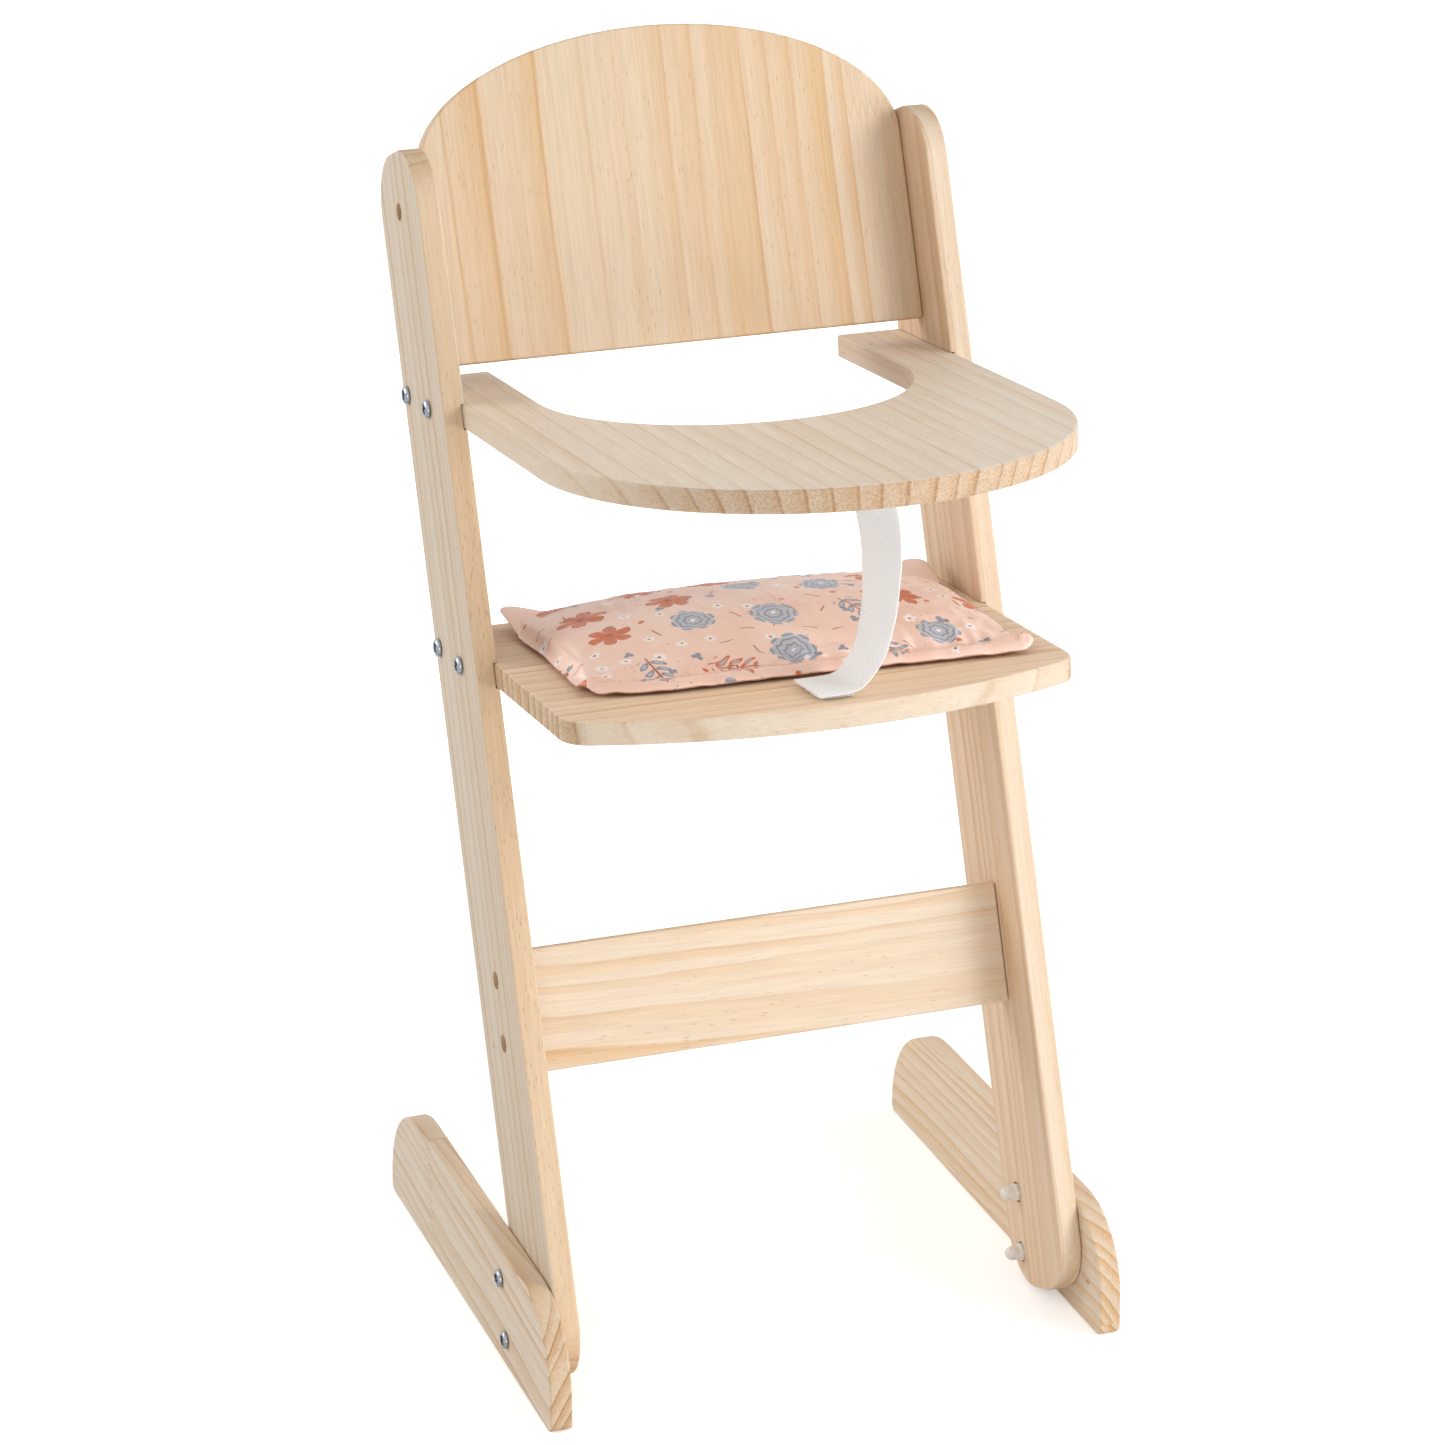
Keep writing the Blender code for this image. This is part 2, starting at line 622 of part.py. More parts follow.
def make_strap():
    """A webbing ribbon: an open strip along its stations, thickened to both sides."""
    stations = strap_stations()
    bm = bmesh.new()
    bmesh.ops.create_grid(bm, x_segments=len(stations) - 1, y_segments=2, size=1)
    for vert in bm.verts:
        index = round((vert.co.x + 1) / 2 * (len(stations) - 1))
        middle, width = stations[index]
        vert.co = middle + width * (vert.co.y * STRAP_W / 2)
    mesh = bpy.data.meshes.new("strap")
    bm.to_mesh(mesh)
    bm.free()
    finish_mesh(mesh, make_material("strap", WEBBING, 0.8))
    strap = add_part("strap", mesh, Matrix.Identity(4))
    shell = strap.modifiers.new("thickness", "SOLIDIFY")
    shell.thickness = STRAP_T
    shell.offset = 0
    return strap, stations


def fit_strap(tray):
    """The strap, the hook tape under its lower end and the screw through its upper end."""
    strap, stations = make_strap()
    tape = make_block_mesh("strap_patch", (PATCH_L, PATCH_W, PATCH_T))
    finish_mesh(tape, make_material("strap_patch", WEBBING, 0.7))
    lift = PLAY + PATCH_T / 2
    add_part("strap_patch", tape, SEAT_FRAME @ Matrix.Translation((PATCH_X, -STRAP_PLACE, lift)))
    mesh = screw_mesh("strap_screw", ZINC, 0.3, STRAP_SCREW_D, STRAP_SCREW_HEAD_D, STRAP_SCREW_HEAD_H,
                      STRAP_SCREW_L, SCREW_TIP / 2)
    end = stations[-1][0]
    inward = (stations[-2][0] - end).normalized()
    under = end + inward * STRAP_SCREW_FROM_END
    depth = TRAY_FRAME.inverted() @ under
    depth.z = -TRAY_T - 2 * PLAY - STRAP_T
    place = TRAY_FRAME @ Matrix.Translation(depth) @ Matrix.Rotation(math.pi, 4, "X")
    place = place @ Matrix.Translation((0, 0, PLAY))
    add_part("strap_screw", mesh, place)
    profile = step_profile((STRAP_SCREW_D / 2 + PLAY, PLAY, -STRAP_SCREW_L - PLAY))
    cutter = add_cutter("strap_screw_hole", turned_mesh("strap_screw_hole", profile, HOLE_STEPS), place)
    cut(strap, cutter)
    cut(tray, cutter)


def cushion_point(u, v, top):
    """A cage point over the unit square: crowned above, flat below, sides drawn in between corners."""
    x = CUSHION_W / 2 * u * (1 - CUSHION_DRAW_SHARE * (1 - v * v))
    y = CUSHION_D / 2 * v * (1 - CUSHION_DRAW_SHARE * (1 - u * u))
    fill = ((1 - u ** 4) * (1 - v ** 4)) ** 0.5
    if top:
        return Vector((x, y, CUSHION_RIM_TOP + (CUSHION_CROWN - CUSHION_RIM_TOP) * fill))
    return Vector((x, y, CUSHION_RIM_LIFT * (1 - fill)))


def make_cushion():
    """A pillow: a grid drawn up into a slab, shaped by the cage formula and subdivided."""
    bm = bmesh.new()
    columns, rows = CUSHION_CELLS
    bmesh.ops.create_grid(bm, x_segments=columns, y_segments=rows, size=1)
    raised = bmesh.ops.extrude_face_region(bm, geom=bm.faces[:])["geom"]
    top = {item for item in raised if isinstance(item, bmesh.types.BMVert)}
    for vert in bm.verts:
        vert.co = cushion_point(vert.co.x, vert.co.y, vert in top)
    bmesh.ops.recalc_face_normals(bm, faces=bm.faces)
    mesh = bpy.data.meshes.new("cushion")
    bm.to_mesh(mesh)
    bm.free()
    finish_mesh(mesh, make_material("cushion", PEACH, 0.5))
    turn = Matrix.Rotation(CUSHION_TURN, 4, "Z")
    place = SEAT_FRAME @ Matrix.Translation((CUSHION_X, -CUSHION_PLACE, PLAY)) @ turn
    cushion = add_part("cushion", mesh, place)
    subdivision = cushion.modifiers.new("soft_form", "SUBSURF")
    subdivision.levels = 1
    subdivision.render_levels = 1
    return cushion


def build():
    uprights = {name: make_upright("upright_" + name, side) for name, side in SIDES.items()}
    feet = {name: make_foot("foot_" + name, side) for name, side in SIDES.items()}
    crossbar = make_crossbar()
    backrest = make_backrest()
    tray = make_tray()
    seat = make_seat()
    fit_boards(uprights, TRAY_FRAME, tray, TRAY_T, TRAY_REACH, "tray")
    fit_boards(uprights, SEAT_FRAME, seat, SEAT_T, SEAT_REACH, "seat")
    fit_sunk_screws(uprights, crossbar, backrest)
    fit_dowels(uprights, backrest)
    fit_feet(uprights, feet)
    fit_strap(tray)
    make_cushion()


build()
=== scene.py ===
"""Looks of the doll high chair: pine boards, zinc screws, webbing strap and a satin cushion.

Metres, +Z up, front towards -Y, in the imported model's own frame.
"""

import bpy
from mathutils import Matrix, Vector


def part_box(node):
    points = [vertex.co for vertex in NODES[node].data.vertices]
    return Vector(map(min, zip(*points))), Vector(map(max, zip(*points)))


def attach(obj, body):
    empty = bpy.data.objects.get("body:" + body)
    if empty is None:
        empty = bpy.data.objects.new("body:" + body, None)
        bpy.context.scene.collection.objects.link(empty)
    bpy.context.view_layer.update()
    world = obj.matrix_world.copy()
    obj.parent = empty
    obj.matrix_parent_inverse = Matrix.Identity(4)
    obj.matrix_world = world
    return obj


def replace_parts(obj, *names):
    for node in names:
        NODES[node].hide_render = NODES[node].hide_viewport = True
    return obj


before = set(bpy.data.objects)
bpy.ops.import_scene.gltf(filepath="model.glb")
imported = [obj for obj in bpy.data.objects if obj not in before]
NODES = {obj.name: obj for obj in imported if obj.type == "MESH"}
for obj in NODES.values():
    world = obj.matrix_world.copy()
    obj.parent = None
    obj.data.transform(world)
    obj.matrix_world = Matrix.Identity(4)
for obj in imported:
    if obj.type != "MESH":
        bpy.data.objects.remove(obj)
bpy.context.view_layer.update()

import math
import random
from functools import partialmethod

import bmesh
import bpy
from mathutils import Matrix, Vector

SCENE = bpy.context.scene
SIDES = (("left", -1), ("right", 1))

# Directions of the chair
LEAN = math.radians(20.0)
TILT = math.radians(4.6)
SIDEWAYS = Vector((1, 0, 0))
BACK = Vector((0, 1, 0))
UP = Vector((0, 0, 1))
ACROSS = Vector((0, math.cos(LEAN), -math.sin(LEAN)))
ALONG = Vector((0, math.sin(LEAN), math.cos(LEAN)))
BACKWARD = Vector((0, math.cos(TILT), -math.sin(TILT)))
BOARD_UP = Vector((0, math.sin(TILT), math.cos(TILT)))

# Camera, from the fit to the photograph
CAMERA_PLACE = (-0.60873, -1.72159, 0.93996)
CAMERA_RIGHT = math.radians(18.908)
CAMERA_DOWN = math.radians(20.123)
CAMERA_ROLL = math.radians(0.7065)
SENSOR = 36.0
FOCAL = 113.76

# Seat plane and strap route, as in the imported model
FRONT_LINE = -0.08381
SEAT_HEIGHT = 0.3027
TRAY_HEIGHT = 0.4058
TRAY_T = 0.010
PLAY = 0.0003
STRAP_W = 0.030
STRAP_T = 0.0012
STRAP_PLACE = 0.105
STRAP_END_X = -0.0094
STRAP_BULGE_X = 0.0235
STRAP_TWIST = math.radians(21.0)
STRAP_ROUTE_SHARES = (
    (0.0, 0.0), (0.29, 0.0), (0.47, 0.006), (0.59, 0.025), (0.71, 0.072), (0.82, 0.131),
    (0.89, 0.201), (0.97, 0.341), (0.99, 0.459), (1.0, 0.577), (0.96, 0.717), (0.88, 0.825),
    (0.73, 0.916), (0.47, 0.981), (0.16, 1.0), (-0.32, 1.0))
PATCH_T = 0.001

# Cushion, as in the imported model
CUSHION_W = 0.197
CUSHION_D = 0.140
CUSHION_X = 0.0032
CUSHION_PLACE = 0.0155
CUSHION_TURN = math.radians(-3.0)


def placement(origin, x_axis, y_axis):
    """A placement from its origin and two square axes."""
    z_axis = Vector(x_axis).cross(Vector(y_axis))
    return Matrix.Translation(origin) @ Matrix((x_axis, y_axis, z_axis)).transposed().to_4x4()


def pointed(place, target, axis):
    """A placement whose axis points to its target."""
    return Matrix.Translation(place) @ (target - place).to_track_quat(axis, "Y").to_matrix().to_4x4()


def board_frame(height):
    return placement((0, FRONT_LINE + height * math.tan(LEAN), height), SIDEWAYS, BACKWARD)


SEAT_FRAME = board_frame(SEAT_HEIGHT)
TRAY_FRAME = board_frame(TRAY_HEIGHT)


class Nodes:
    """A node tree that short calls add to."""

    def __init__(self, tree, shader=None):
        self.tree = tree
        self.shader = shader

    def put(self, socket, value):
        if isinstance(value, bpy.types.NodeSocket):
            self.tree.links.new(value, socket)
        else:
            socket.default_value = value

    def shade(self, key, value):
        """Gives a socket of the material's shader its value."""
        self.put(self.shader.inputs[key], value)

    def add(self, kind, values=None, **settings):
        node = self.tree.nodes.new("ShaderNode" + kind)
        for key, value in settings.items():
            setattr(node, key, value)
        for key, value in (values or {}).items():
            self.put(node.inputs[key], value)
        return node

    def math(self, operation, a, b=0.0, c=0.0):
        return self.add("Math", {0: a, 1: b, 2: c}, operation=operation).outputs[0]

    plus = partialmethod(math, "ADD")
    minus = partialmethod(math, "SUBTRACT")
    times = partialmethod(math, "MULTIPLY")
    over = partialmethod(math, "DIVIDE")
    linear = partialmethod(math, "MULTIPLY_ADD")
    above = partialmethod(math, "GREATER_THAN")
    below = partialmethod(math, "LESS_THAN")
    most = partialmethod(math, "MAXIMUM")
    abs = partialmethod(math, "ABSOLUTE")
    sin = partialmethod(math, "SINE")
    cos = partialmethod(math, "COSINE")

    def here(self):
        """The place in the object's own axes."""
        return self.add("TexCoord").outputs["Object"]

    def vector(self, operation, a, b=(0, 0, 0)):
        node = self.add("VectorMath", {0: a, 1: b}, operation=operation)
        return node.outputs["Value" if operation in ("DOT_PRODUCT", "LENGTH") else "Vector"]

    dot = partialmethod(vector, "DOT_PRODUCT")
    length = partialmethod(vector, "LENGTH")

    def scaled(self, vector, factor):
        return self.add("VectorMath", {0: vector, "Scale": factor}, operation="SCALE").outputs["Vector"]

    def combine(self, x=0.0, y=0.0, z=0.0):
        return self.add("CombineXYZ", {0: x, 1: y, 2: z}).outputs[0]

    def separate(self, vector):
        return self.add("SeparateXYZ", {0: vector}).outputs

    def step(self, value, low, high, start=0.0, end=1.0):
        """A smooth step of value, from start at low to end at high."""
        values = {"Value": value, "From Min": low, "From Max": high, "To Min": start, "To Max": end}
        return self.add("MapRange", values, interpolation_type="SMOOTHSTEP").outputs[0]

    def noise(self, vector, detail=2.0, roughness=0.5, output="Fac", scale=1.0):
        values = {"Vector": vector, "Scale": scale, "Detail": detail, "Roughness": roughness}
        return self.add("TexNoise", values).outputs[output]

    def cells(self, vector, scatter=1.0, **settings):
        """A Voronoi pattern's sockets: each point's nearest place, its distance and random colour."""
        values = {"Vector": vector, "Scale": 1.0, "Randomness": scatter}
        return self.add("TexVoronoi", values, feature="F1", **settings).outputs

    def mix(self, factor, a, b, blend="MIX"):
        return self.add("Mix", {0: factor, 6: a, 7: b}, data_type="RGBA", blend_type=blend).outputs[2]

    def bump(self, height, distance):
        return self.add("Bump", {"Height": height, "Distance": distance}).outputs[0]


def new_material(name, roughness, metallic=0.0, **constants):
    """A material and the nodes of its Principled shader; constants set the shader's other sockets."""
    material = bpy.data.materials.new(name)
    material.use_nodes = True
    n = Nodes(material.node_tree, material.node_tree.nodes["Principled BSDF"])
    n.shade("Roughness", roughness)
    n.shade("Metallic", metallic)
    for key, value in constants.items():
        n.shade(key.replace("_", " ").title().replace("Ior", "IOR"), value)
    return material, n


def rgb(red, green, blue):
    return (red, green, blue, 1.0)


def set_material(mesh, material):
    mesh.materials.clear()
    mesh.materials.append(material)


def add_object(name, data, place=Matrix()):
    obj = bpy.data.objects.new(name, data)
    SCENE.collection.objects.link(obj)
    obj.matrix_world = place
    return obj


def applied(obj):
    """The object as its modifiers make it."""
    return obj.evaluated_get(bpy.context.evaluated_depsgraph_get())


# Pine

PORE_DEPTH = 0.00006
FINGER_PITCH = 0.0038
FINGER_L = 0.0075
NO_JOINT = 9.0
ONE_STRIP = 9.0
STRIP_LEAN = 0.012
PALE_PINE = rgb(0.82, 0.68, 0.52)
TAN_PINE = rgb(0.72, 0.50, 0.30)
DARK_PINE = rgb(0.50, 0.29, 0.14)
ORANGE_PINE = rgb(0.76, 0.50, 0.26)
STREAK_PINE = rgb(0.60, 0.34, 0.15)
FLECK_PINE = rgb(0.38, 0.19, 0.09)
PALE_END = rgb(0.93, 0.88, 0.82)
DARK_END = rgb(0.72, 0.60, 0.48)

# How often each of the pine's patterns repeats in a metre: across, through and along the board
SLOW_DRIFT = (9, 9, 2.2)
FAST_DRIFT = (45, 45, 9)
PATCHES = (14, 14, 4)
CLOUDS = (30, 30, 3)
STREAKS = (260, 260, 7)
FIBRES = (1500, 1500, 45)
DASHES = (950, 950, 130)
SPOTS = (34, 34, 17)
MOTTLE = (1100, 1100, 300)
MIDDLE = (0.5, 0.5, 0.5)


def make_pine_group():
    """Solid pine: growth rings round a pith, fibres, resin dashes and end grain, from board coordinates.

    Place is (across the face, through the thickness, along the grain) in metres.
    """
    group = bpy.data.node_groups.new("pine_grain", "ShaderNodeTree")
    face = group.interface
    numbers = "End/Pith X/Pith Y/Spacing/Seed/Wave/Band/Line/Even/Strip/Joint/Joint From"
    for way, kind, names in (("INPUT", "Vector", "Place"), ("INPUT", "Float", numbers),
                             ("INPUT", "Color", "Pale/Tan/Dark"),
                             ("OUTPUT", "Color", "Color"), ("OUTPUT", "Float", "Height/Roughness")):
        for name in names.split("/"):
            face.new_socket(name, in_out=way, socket_type="NodeSocket" + kind)
    n = Nodes(group)
    given = group.nodes.new("NodeGroupInput").outputs
    result = group.nodes.new("NodeGroupOutput").inputs
    x, y, z = n.separate(given["Place"])
    end = given["End"]
    off_end = n.minus(1.0, end)

    # Glued strips and a finger joint, each piece of wood with random numbers of its own
    strip = n.math("FLOOR", n.over(n.plus(x, n.times(z, STRIP_LEAN)), given["Strip"]))
    tooth = n.math("PINGPONG", x, FINGER_PITCH / 2)
    past = n.minus(z, n.linear(tooth, FINGER_L / FINGER_PITCH * 2, given["Joint"]))
    has_joint = n.above(x, given["Joint From"])
    joined = n.times(n.above(past, 0.0), has_joint)
    glue = n.times(n.step(n.abs(past), 0.0003, 0.0010, 0.4, 0.0), has_joint)
    strip = n.linear(joined, 17.0, strip)
    pick = n.add("TexWhiteNoise", {"Vector": n.combine(strip, given["Seed"])}).outputs
    pick_x, pick_y, pick_z = n.separate(pick["Color"])
    shift = n.times(n.plus(pick["Value"], given["Seed"]), 7.0)

    # Uneven rings round the pith
    seeded = n.vector("ADD", given["Place"], n.combine(shift, 0.0, n.times(shift, 1.7)))

    def pattern(scale, detail, roughness=0.5, output="Fac"):
        return n.noise(n.vector("MULTIPLY", seeded, scale), detail, roughness, output)

    slow = pattern(SLOW_DRIFT, 2.0, output="Color")
    fast = pattern(FAST_DRIFT, 2.0, output="Color")
    drift = n.vector("ADD", n.vector("SUBTRACT", slow, MIDDLE), n.scaled(n.vector("SUBTRACT", fast, MIDDLE), 0.10))
    drift_x, drift_y, _ = n.separate(n.scaled(drift, given["Wave"]))
    away_x = n.minus(n.plus(x, drift_x), n.linear(pick_x, 0.02, given["Pith X"]))
    away_y = n.minus(n.plus(y, drift_y), n.linear(pick_y, 0.01, given["Pith Y"]))
    radius = n.length(n.combine(away_x, away_y))
    turns = n.plus(n.over(radius, given["Spacing"]), shift)
    uneven = n.noise(n.combine(n.times(turns, 0.45), shift), 1.0)
    uneven = n.times(uneven, n.linear(given["Even"], -2.2, 2.6))
    turns = n.plus(uneven, turns)
    ring = n.math("FLOOR", turns)
    part = n.math("FRACT", turns)
    strength = n.add("TexWhiteNoise", {"Vector": n.combine(ring, shift)}).outputs["Value"]
    strength = n.linear(n.math("POWER", strength, 1.6), 0.9, 0.1)
    strength = n.times(strength, n.step(pattern(PATCHES, 1.0), 0.3, 0.7, 0.45, 1.15))
    strength = n.add("Mix", {"Factor": given["Even"], "A": strength, "B": 0.75}).outputs[0]

    # Late wood with a thin dark line, between pale early wood
    late = n.times(n.step(part, 0.10, 0.84), n.step(part, 0.87, 0.99, 1.0, 0.0))
    line = n.times(n.step(part, 0.76, 0.86), n.step(part, 0.88, 0.97, 1.0, 0.0))
    cloudy = pattern(CLOUDS, 3.0)
    streak = pattern(STREAKS, 3.0, 0.6)
    fibre = pattern(FIBRES, 2.0, 0.6)
    bold = n.linear(end, 2.0, 1.0)
    band = n.times(n.times(late, strength), n.times(given["Band"], bold))
    cloud = n.step(cloudy, 0.35, 0.7, -0.10, 0.16)
    tone = n.plus(n.plus(band, n.times(pick_z, 0.12)), cloud)
    tone = n.plus(tone, n.step(streak, 0.3, 0.75, -0.12, 0.18))
    colour = n.mix(tone, given["Pale"], given["Tan"])
    thin = n.times(n.times(line, strength), n.times(given["Line"], bold))
    thin = n.times(thin, n.step(streak, 0.25, 0.6, 0.55, 1.0))
    colour = n.mix(thin, colour, given["Dark"])

    # Resin dashes in groups, glue and a few knotty flecks
    cells = n.cells(n.vector("MULTIPLY", seeded, DASHES))
    kept = n.above(n.separate(cells["Color"])[0], 0.66)
    grouped = n.step(cloudy, 0.42, 0.6)
    dash = n.times(n.step(cells["Distance"], 0.10, 0.26, 1.0, 0.0), kept)
    dash = n.times(dash, n.linear(grouped, 0.70, 0.30))
    dash = n.times(dash, off_end)
    colour = n.mix(n.times(dash, 0.65), colour, given["Dark"])
    colour = n.mix(glue, colour, given["Dark"])

    spots = n.cells(n.vector("MULTIPLY", seeded, SPOTS))
    spot = n.step(spots["Distance"], 0.018, 0.042, 0.7, 0.0)
    spot = n.times(spot, n.above(n.separate(spots["Color"])[0], 0.45))
    colour = n.mix(n.times(spot, off_end), colour, FLECK_PINE)

    # Open pores of the end grain, and fibres over all
    mottle = pattern(MOTTLE, 3.0, 0.7)
    spotted = n.mix(n.step(mottle, 0.42, 0.60, 0.0, 0.80), PALE_END, DARK_END)
    colour = n.mix(end, colour, n.mix(1.0, colour, spotted, "MULTIPLY"))
    grainy = n.step(fibre, 0.25, 0.75, 0.93, 1.05)
    colour = n.mix(1.0, colour, n.combine(grainy, grainy, grainy), "MULTIPLY")

    n.put(result["Color"], colour)
    height = n.plus(n.times(line, 0.12), n.times(fibre, 0.5))
    n.put(result["Height"], n.minus(height, n.times(dash, 0.8)))
    n.put(result["Roughness"], n.step(fibre, 0.2, 0.8, 0.5, 0.62))
    return group


PINE_GROUP = make_pine_group()

# Wander of the rings, strength of late wood, dark lines and end grain, likeness of the rings, strips, colours
USUAL_PINE = {"Wave": 0.012, "Band": 0.95, "Line": 0.6, "End": 0.35, "Even": 0.0, "Strip": ONE_STRIP,
              "Pale": PALE_PINE, "Tan": TAN_PINE, "Dark": DARK_PINE}


def paint_board(node, across, through, grain, pith, spacing, seed, broad=(1, 1, 1), edge=(1, 1, 1),
                fan=None, joint=(NO_JOINT, 0.0), tilt=(0.0, 0.0), **unusual):
    """Gives a board its own pine, cut from the log as its axes, its pith and its ring spacing say.

    broad and edge tint the broad faces and the narrow edges: partly the wood's own tone, partly painted light
    and shade that makes each face as light or dark as it looks under the lamps. fan (x, height, spread) lets the
    rings lean outwards from x. joint is a finger joint's place along the grain, from a place across it.
    tilt is the slope of the log's axis across and through the board, which makes the rings run into arches.
    """
    material, n = new_material("pine_" + node, 0.56)
    found = n.add("TexCoord").outputs
    here = found["Object"]
    x = n.dot(here, across)
    z = n.dot(here, grain)
    y = n.dot(here, through)
    if fan is not None:
        middle_x, middle_y, spread = fan
        leaning = n.linear(n.minus(y, middle_y), -spread, 1.0)
        x = n.times(n.minus(x, middle_x), leaning)
    place = n.combine(n.linear(z, tilt[0], x), n.linear(z, tilt[1], y), z)
    facing = n.abs(n.dot(found["Normal"], grain))
    values = USUAL_PINE | {key.title(): value for key, value in unusual.items()}
    values |= {"Place": place, "End": n.step(facing, 0.35, 0.9, 0.0, values["End"]), "Pith X": pith[0],
               "Pith Y": pith[1], "Spacing": spacing, "Seed": seed, "Joint": joint[0], "Joint From": joint[1]}
    pine = n.add("Group", values, node_tree=PINE_GROUP).outputs
    # Tints by which way a face turns: partly the wood's own tone, partly painted light and shade
    flatness = n.abs(n.dot(found["Normal"], through))
    tone = n.mix(n.step(flatness, 0.5, 0.95), rgb(*edge), rgb(*broad))
    n.shade("Base Color", n.mix(1.0, pine["Color"], tone, "MULTIPLY"))
    n.shade("Roughness", pine["Roughness"])
    n.shade("Normal", n.bump(pine["Height"], PORE_DEPTH))
    set_material(NODES[node].data, material)


def paint_boards():
    """Each board's cut, grain and tone, its faces' tints with painted light and shade, and the finger joints of
    the left foot and the back panel.
    """
    panel_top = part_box("backrest_panel")[1].dot(ALONG)
    tray_level = TRAY_FRAME.translation.dot(BOARD_UP)
    paint_board("upright_left", ACROSS, SIDEWAYS, ALONG, (-0.20, -0.10), 0.0088, 3.1,
                line=0.80, even=0.35, broad=(0.81, 0.83, 0.86), edge=(0.91, 0.82, 0.71))
    paint_board("upright_right", ACROSS, SIDEWAYS, ALONG, (-0.10, 0.05), 0.0056, 5.7,
                line=0.35, even=0.4, broad=(0.99, 0.92, 0.88), edge=(0.98, 0.95, 0.93))
    paint_board("foot_left", UP, SIDEWAYS, BACK, (-0.060, -0.036), 0.0048, 1.3, wave=0.03,
                band=0.8, line=0.65, even=0.45, end=0.6, broad=(0.90, 0.93, 0.98), edge=(0.90, 0.87, 0.84),
                joint=(0.088, -1.0), tilt=(-0.03, 0.02))
    paint_board("foot_right", UP, SIDEWAYS, BACK, (-0.09, 0.01), 0.0048, 2.2, wave=0.03,
                line=0.45, even=0.5, end=0.5, broad=(1.00, 1.02, 1.06), edge=(0.92, 0.91, 0.91),
                tan=ORANGE_PINE, tilt=(0.05, 0.0))
    paint_board("crossbar", ALONG, ACROSS, SIDEWAYS, (0.03, 0.05), 0.0060, 4.6, wave=0.04,
                line=0.35, even=0.1, broad=(0.97, 0.97, 0.98), edge=(0.93, 0.90, 0.88),
                tan=ORANGE_PINE, tilt=(0.02, 0.0))
    paint_board("backrest_panel", SIDEWAYS, ACROSS, ALONG, (-0.30, 0.45), 0.0068, 7.9, wave=0.010,
                strip=0.046, broad=(0.95, 0.90, 0.84), edge=(0.88, 0.81, 0.73), tan=ORANGE_PINE,
                dark=STREAK_PINE, joint=(panel_top - 0.050, 0.086))
    paint_board("tray", SIDEWAYS, BOARD_UP, BACKWARD, (-2.0, 0.0), 0.0098, 8.4, wave=0.004,
                band=0.28, line=0.32, even=0.75, end=1.0, broad=(1.05, 1.09, 1.17), edge=(0.86, 0.84, 0.83),
                fan=(-0.044, tray_level, 6.5))
    paint_board("seat", BACKWARD, BOARD_UP, SIDEWAYS, (0.90, 0.10), 0.0090, 6.5, wave=0.030,
                band=0.9, line=0.75, even=0.3, end=1.0, broad=(1.06, 1.02, 0.99), edge=(0.89, 0.89, 0.90))
    for side, seed in (("left", 2.7), ("right", 3.9)):
        paint_board("backrest_dowel_" + side, BACK, UP, SIDEWAYS, (0.03, 0.4), 0.002, seed, band=0.5)


# Metal, plastic

ROUND_STEPS = 48
HEAD_D = 0.008
CROSS_SPAN = 0.0058
CROSS_ARM = 0.0020
CROSS_DEPTH = 0.0022
RECESS_FLOOR = 0.0016
RECESS_MOUTH = 0.0019
# Painted shade for the floor of a head's cross recess
RECESS_PAINTED_SHADE = rgb(0.03, 0.03, 0.035)
SHARP_ANGLE = math.radians(32)


def metal_material(name, colour, shade, roughness):
    """Plated steel: cloudy plating with fine turning marks, and painted shade that makes it dull and dark down in
    a head's recess.
    """
    material, n = new_material(name, roughness, 1.0)
    here = n.here()
    cloud = n.noise(n.scaled(here, 900.0), 3.0, 0.6)
    x, y, z = n.separate(here)
    off_axis = n.length(n.combine(x, y))
    # Painted shade: near black down in the cross recess, by depth and distance from the axis
    recess_shade = n.times(n.step(z, RECESS_FLOOR, RECESS_MOUTH, 0.95, 0.0), n.below(off_axis, CROSS_SPAN / 2))
    plating = n.mix(n.step(cloud, 0.3, 0.7), colour, shade)
    n.shade("Base Color", n.mix(recess_shade, plating, RECESS_PAINTED_SHADE))
    n.shade("Roughness", n.step(cloud, 0.3, 0.75, roughness * 0.8, roughness * 1.4))
    n.shade("Normal", n.bump(n.noise(n.scaled(here, 5200.0), 2.0), 0.00001))
    return material


def nylon_material():
    material, n = new_material("nylon", 0.42, subsurface_weight=0.12, subsurface_scale=0.002,
                               subsurface_radius=(1, 1, 1))
    here = n.here()
    cloud = n.noise(n.scaled(here, 420.0), 3.0)
    n.shade("Base Color", n.mix(n.step(cloud, 0.3, 0.7), rgb(0.83, 0.80, 0.74), rgb(0.77, 0.74, 0.68)))
    n.shade("Normal", n.bump(n.noise(n.scaled(here, 2600.0), 2.0), 0.00002))
    return material


ZINC = metal_material("zinc", rgb(0.50, 0.53, 0.58), rgb(0.32, 0.35, 0.39), 0.20)
BRONZE = metal_material("bronze_screw", rgb(0.42, 0.29, 0.16), rgb(0.30, 0.20, 0.11), 0.35)
NYLON = nylon_material()


def plain_mesh(name, bm):
    """The mesh of a bmesh, which is freed."""
    mesh = bpy.data.meshes.new(name)
    bm.to_mesh(mesh)
    bm.free()
    return mesh


def solid_mesh(name, bm):
    """The mesh of a closed form, with its faces turned outwards."""
    bmesh.ops.recalc_face_normals(bm, faces=bm.faces)
    return plain_mesh(name, bm)


def finished(mesh, material):
    """The mesh, shaded smooth between sharp edges, with its material."""
    mesh.shade_smooth()
    mesh.set_sharp_from_angle(angle=SHARP_ANGLE)
    set_material(mesh, material)
    return mesh


def add_piece(name, mesh, body, place=Matrix()):
    piece = add_object(name, mesh, place)
    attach(piece, body)
    return piece


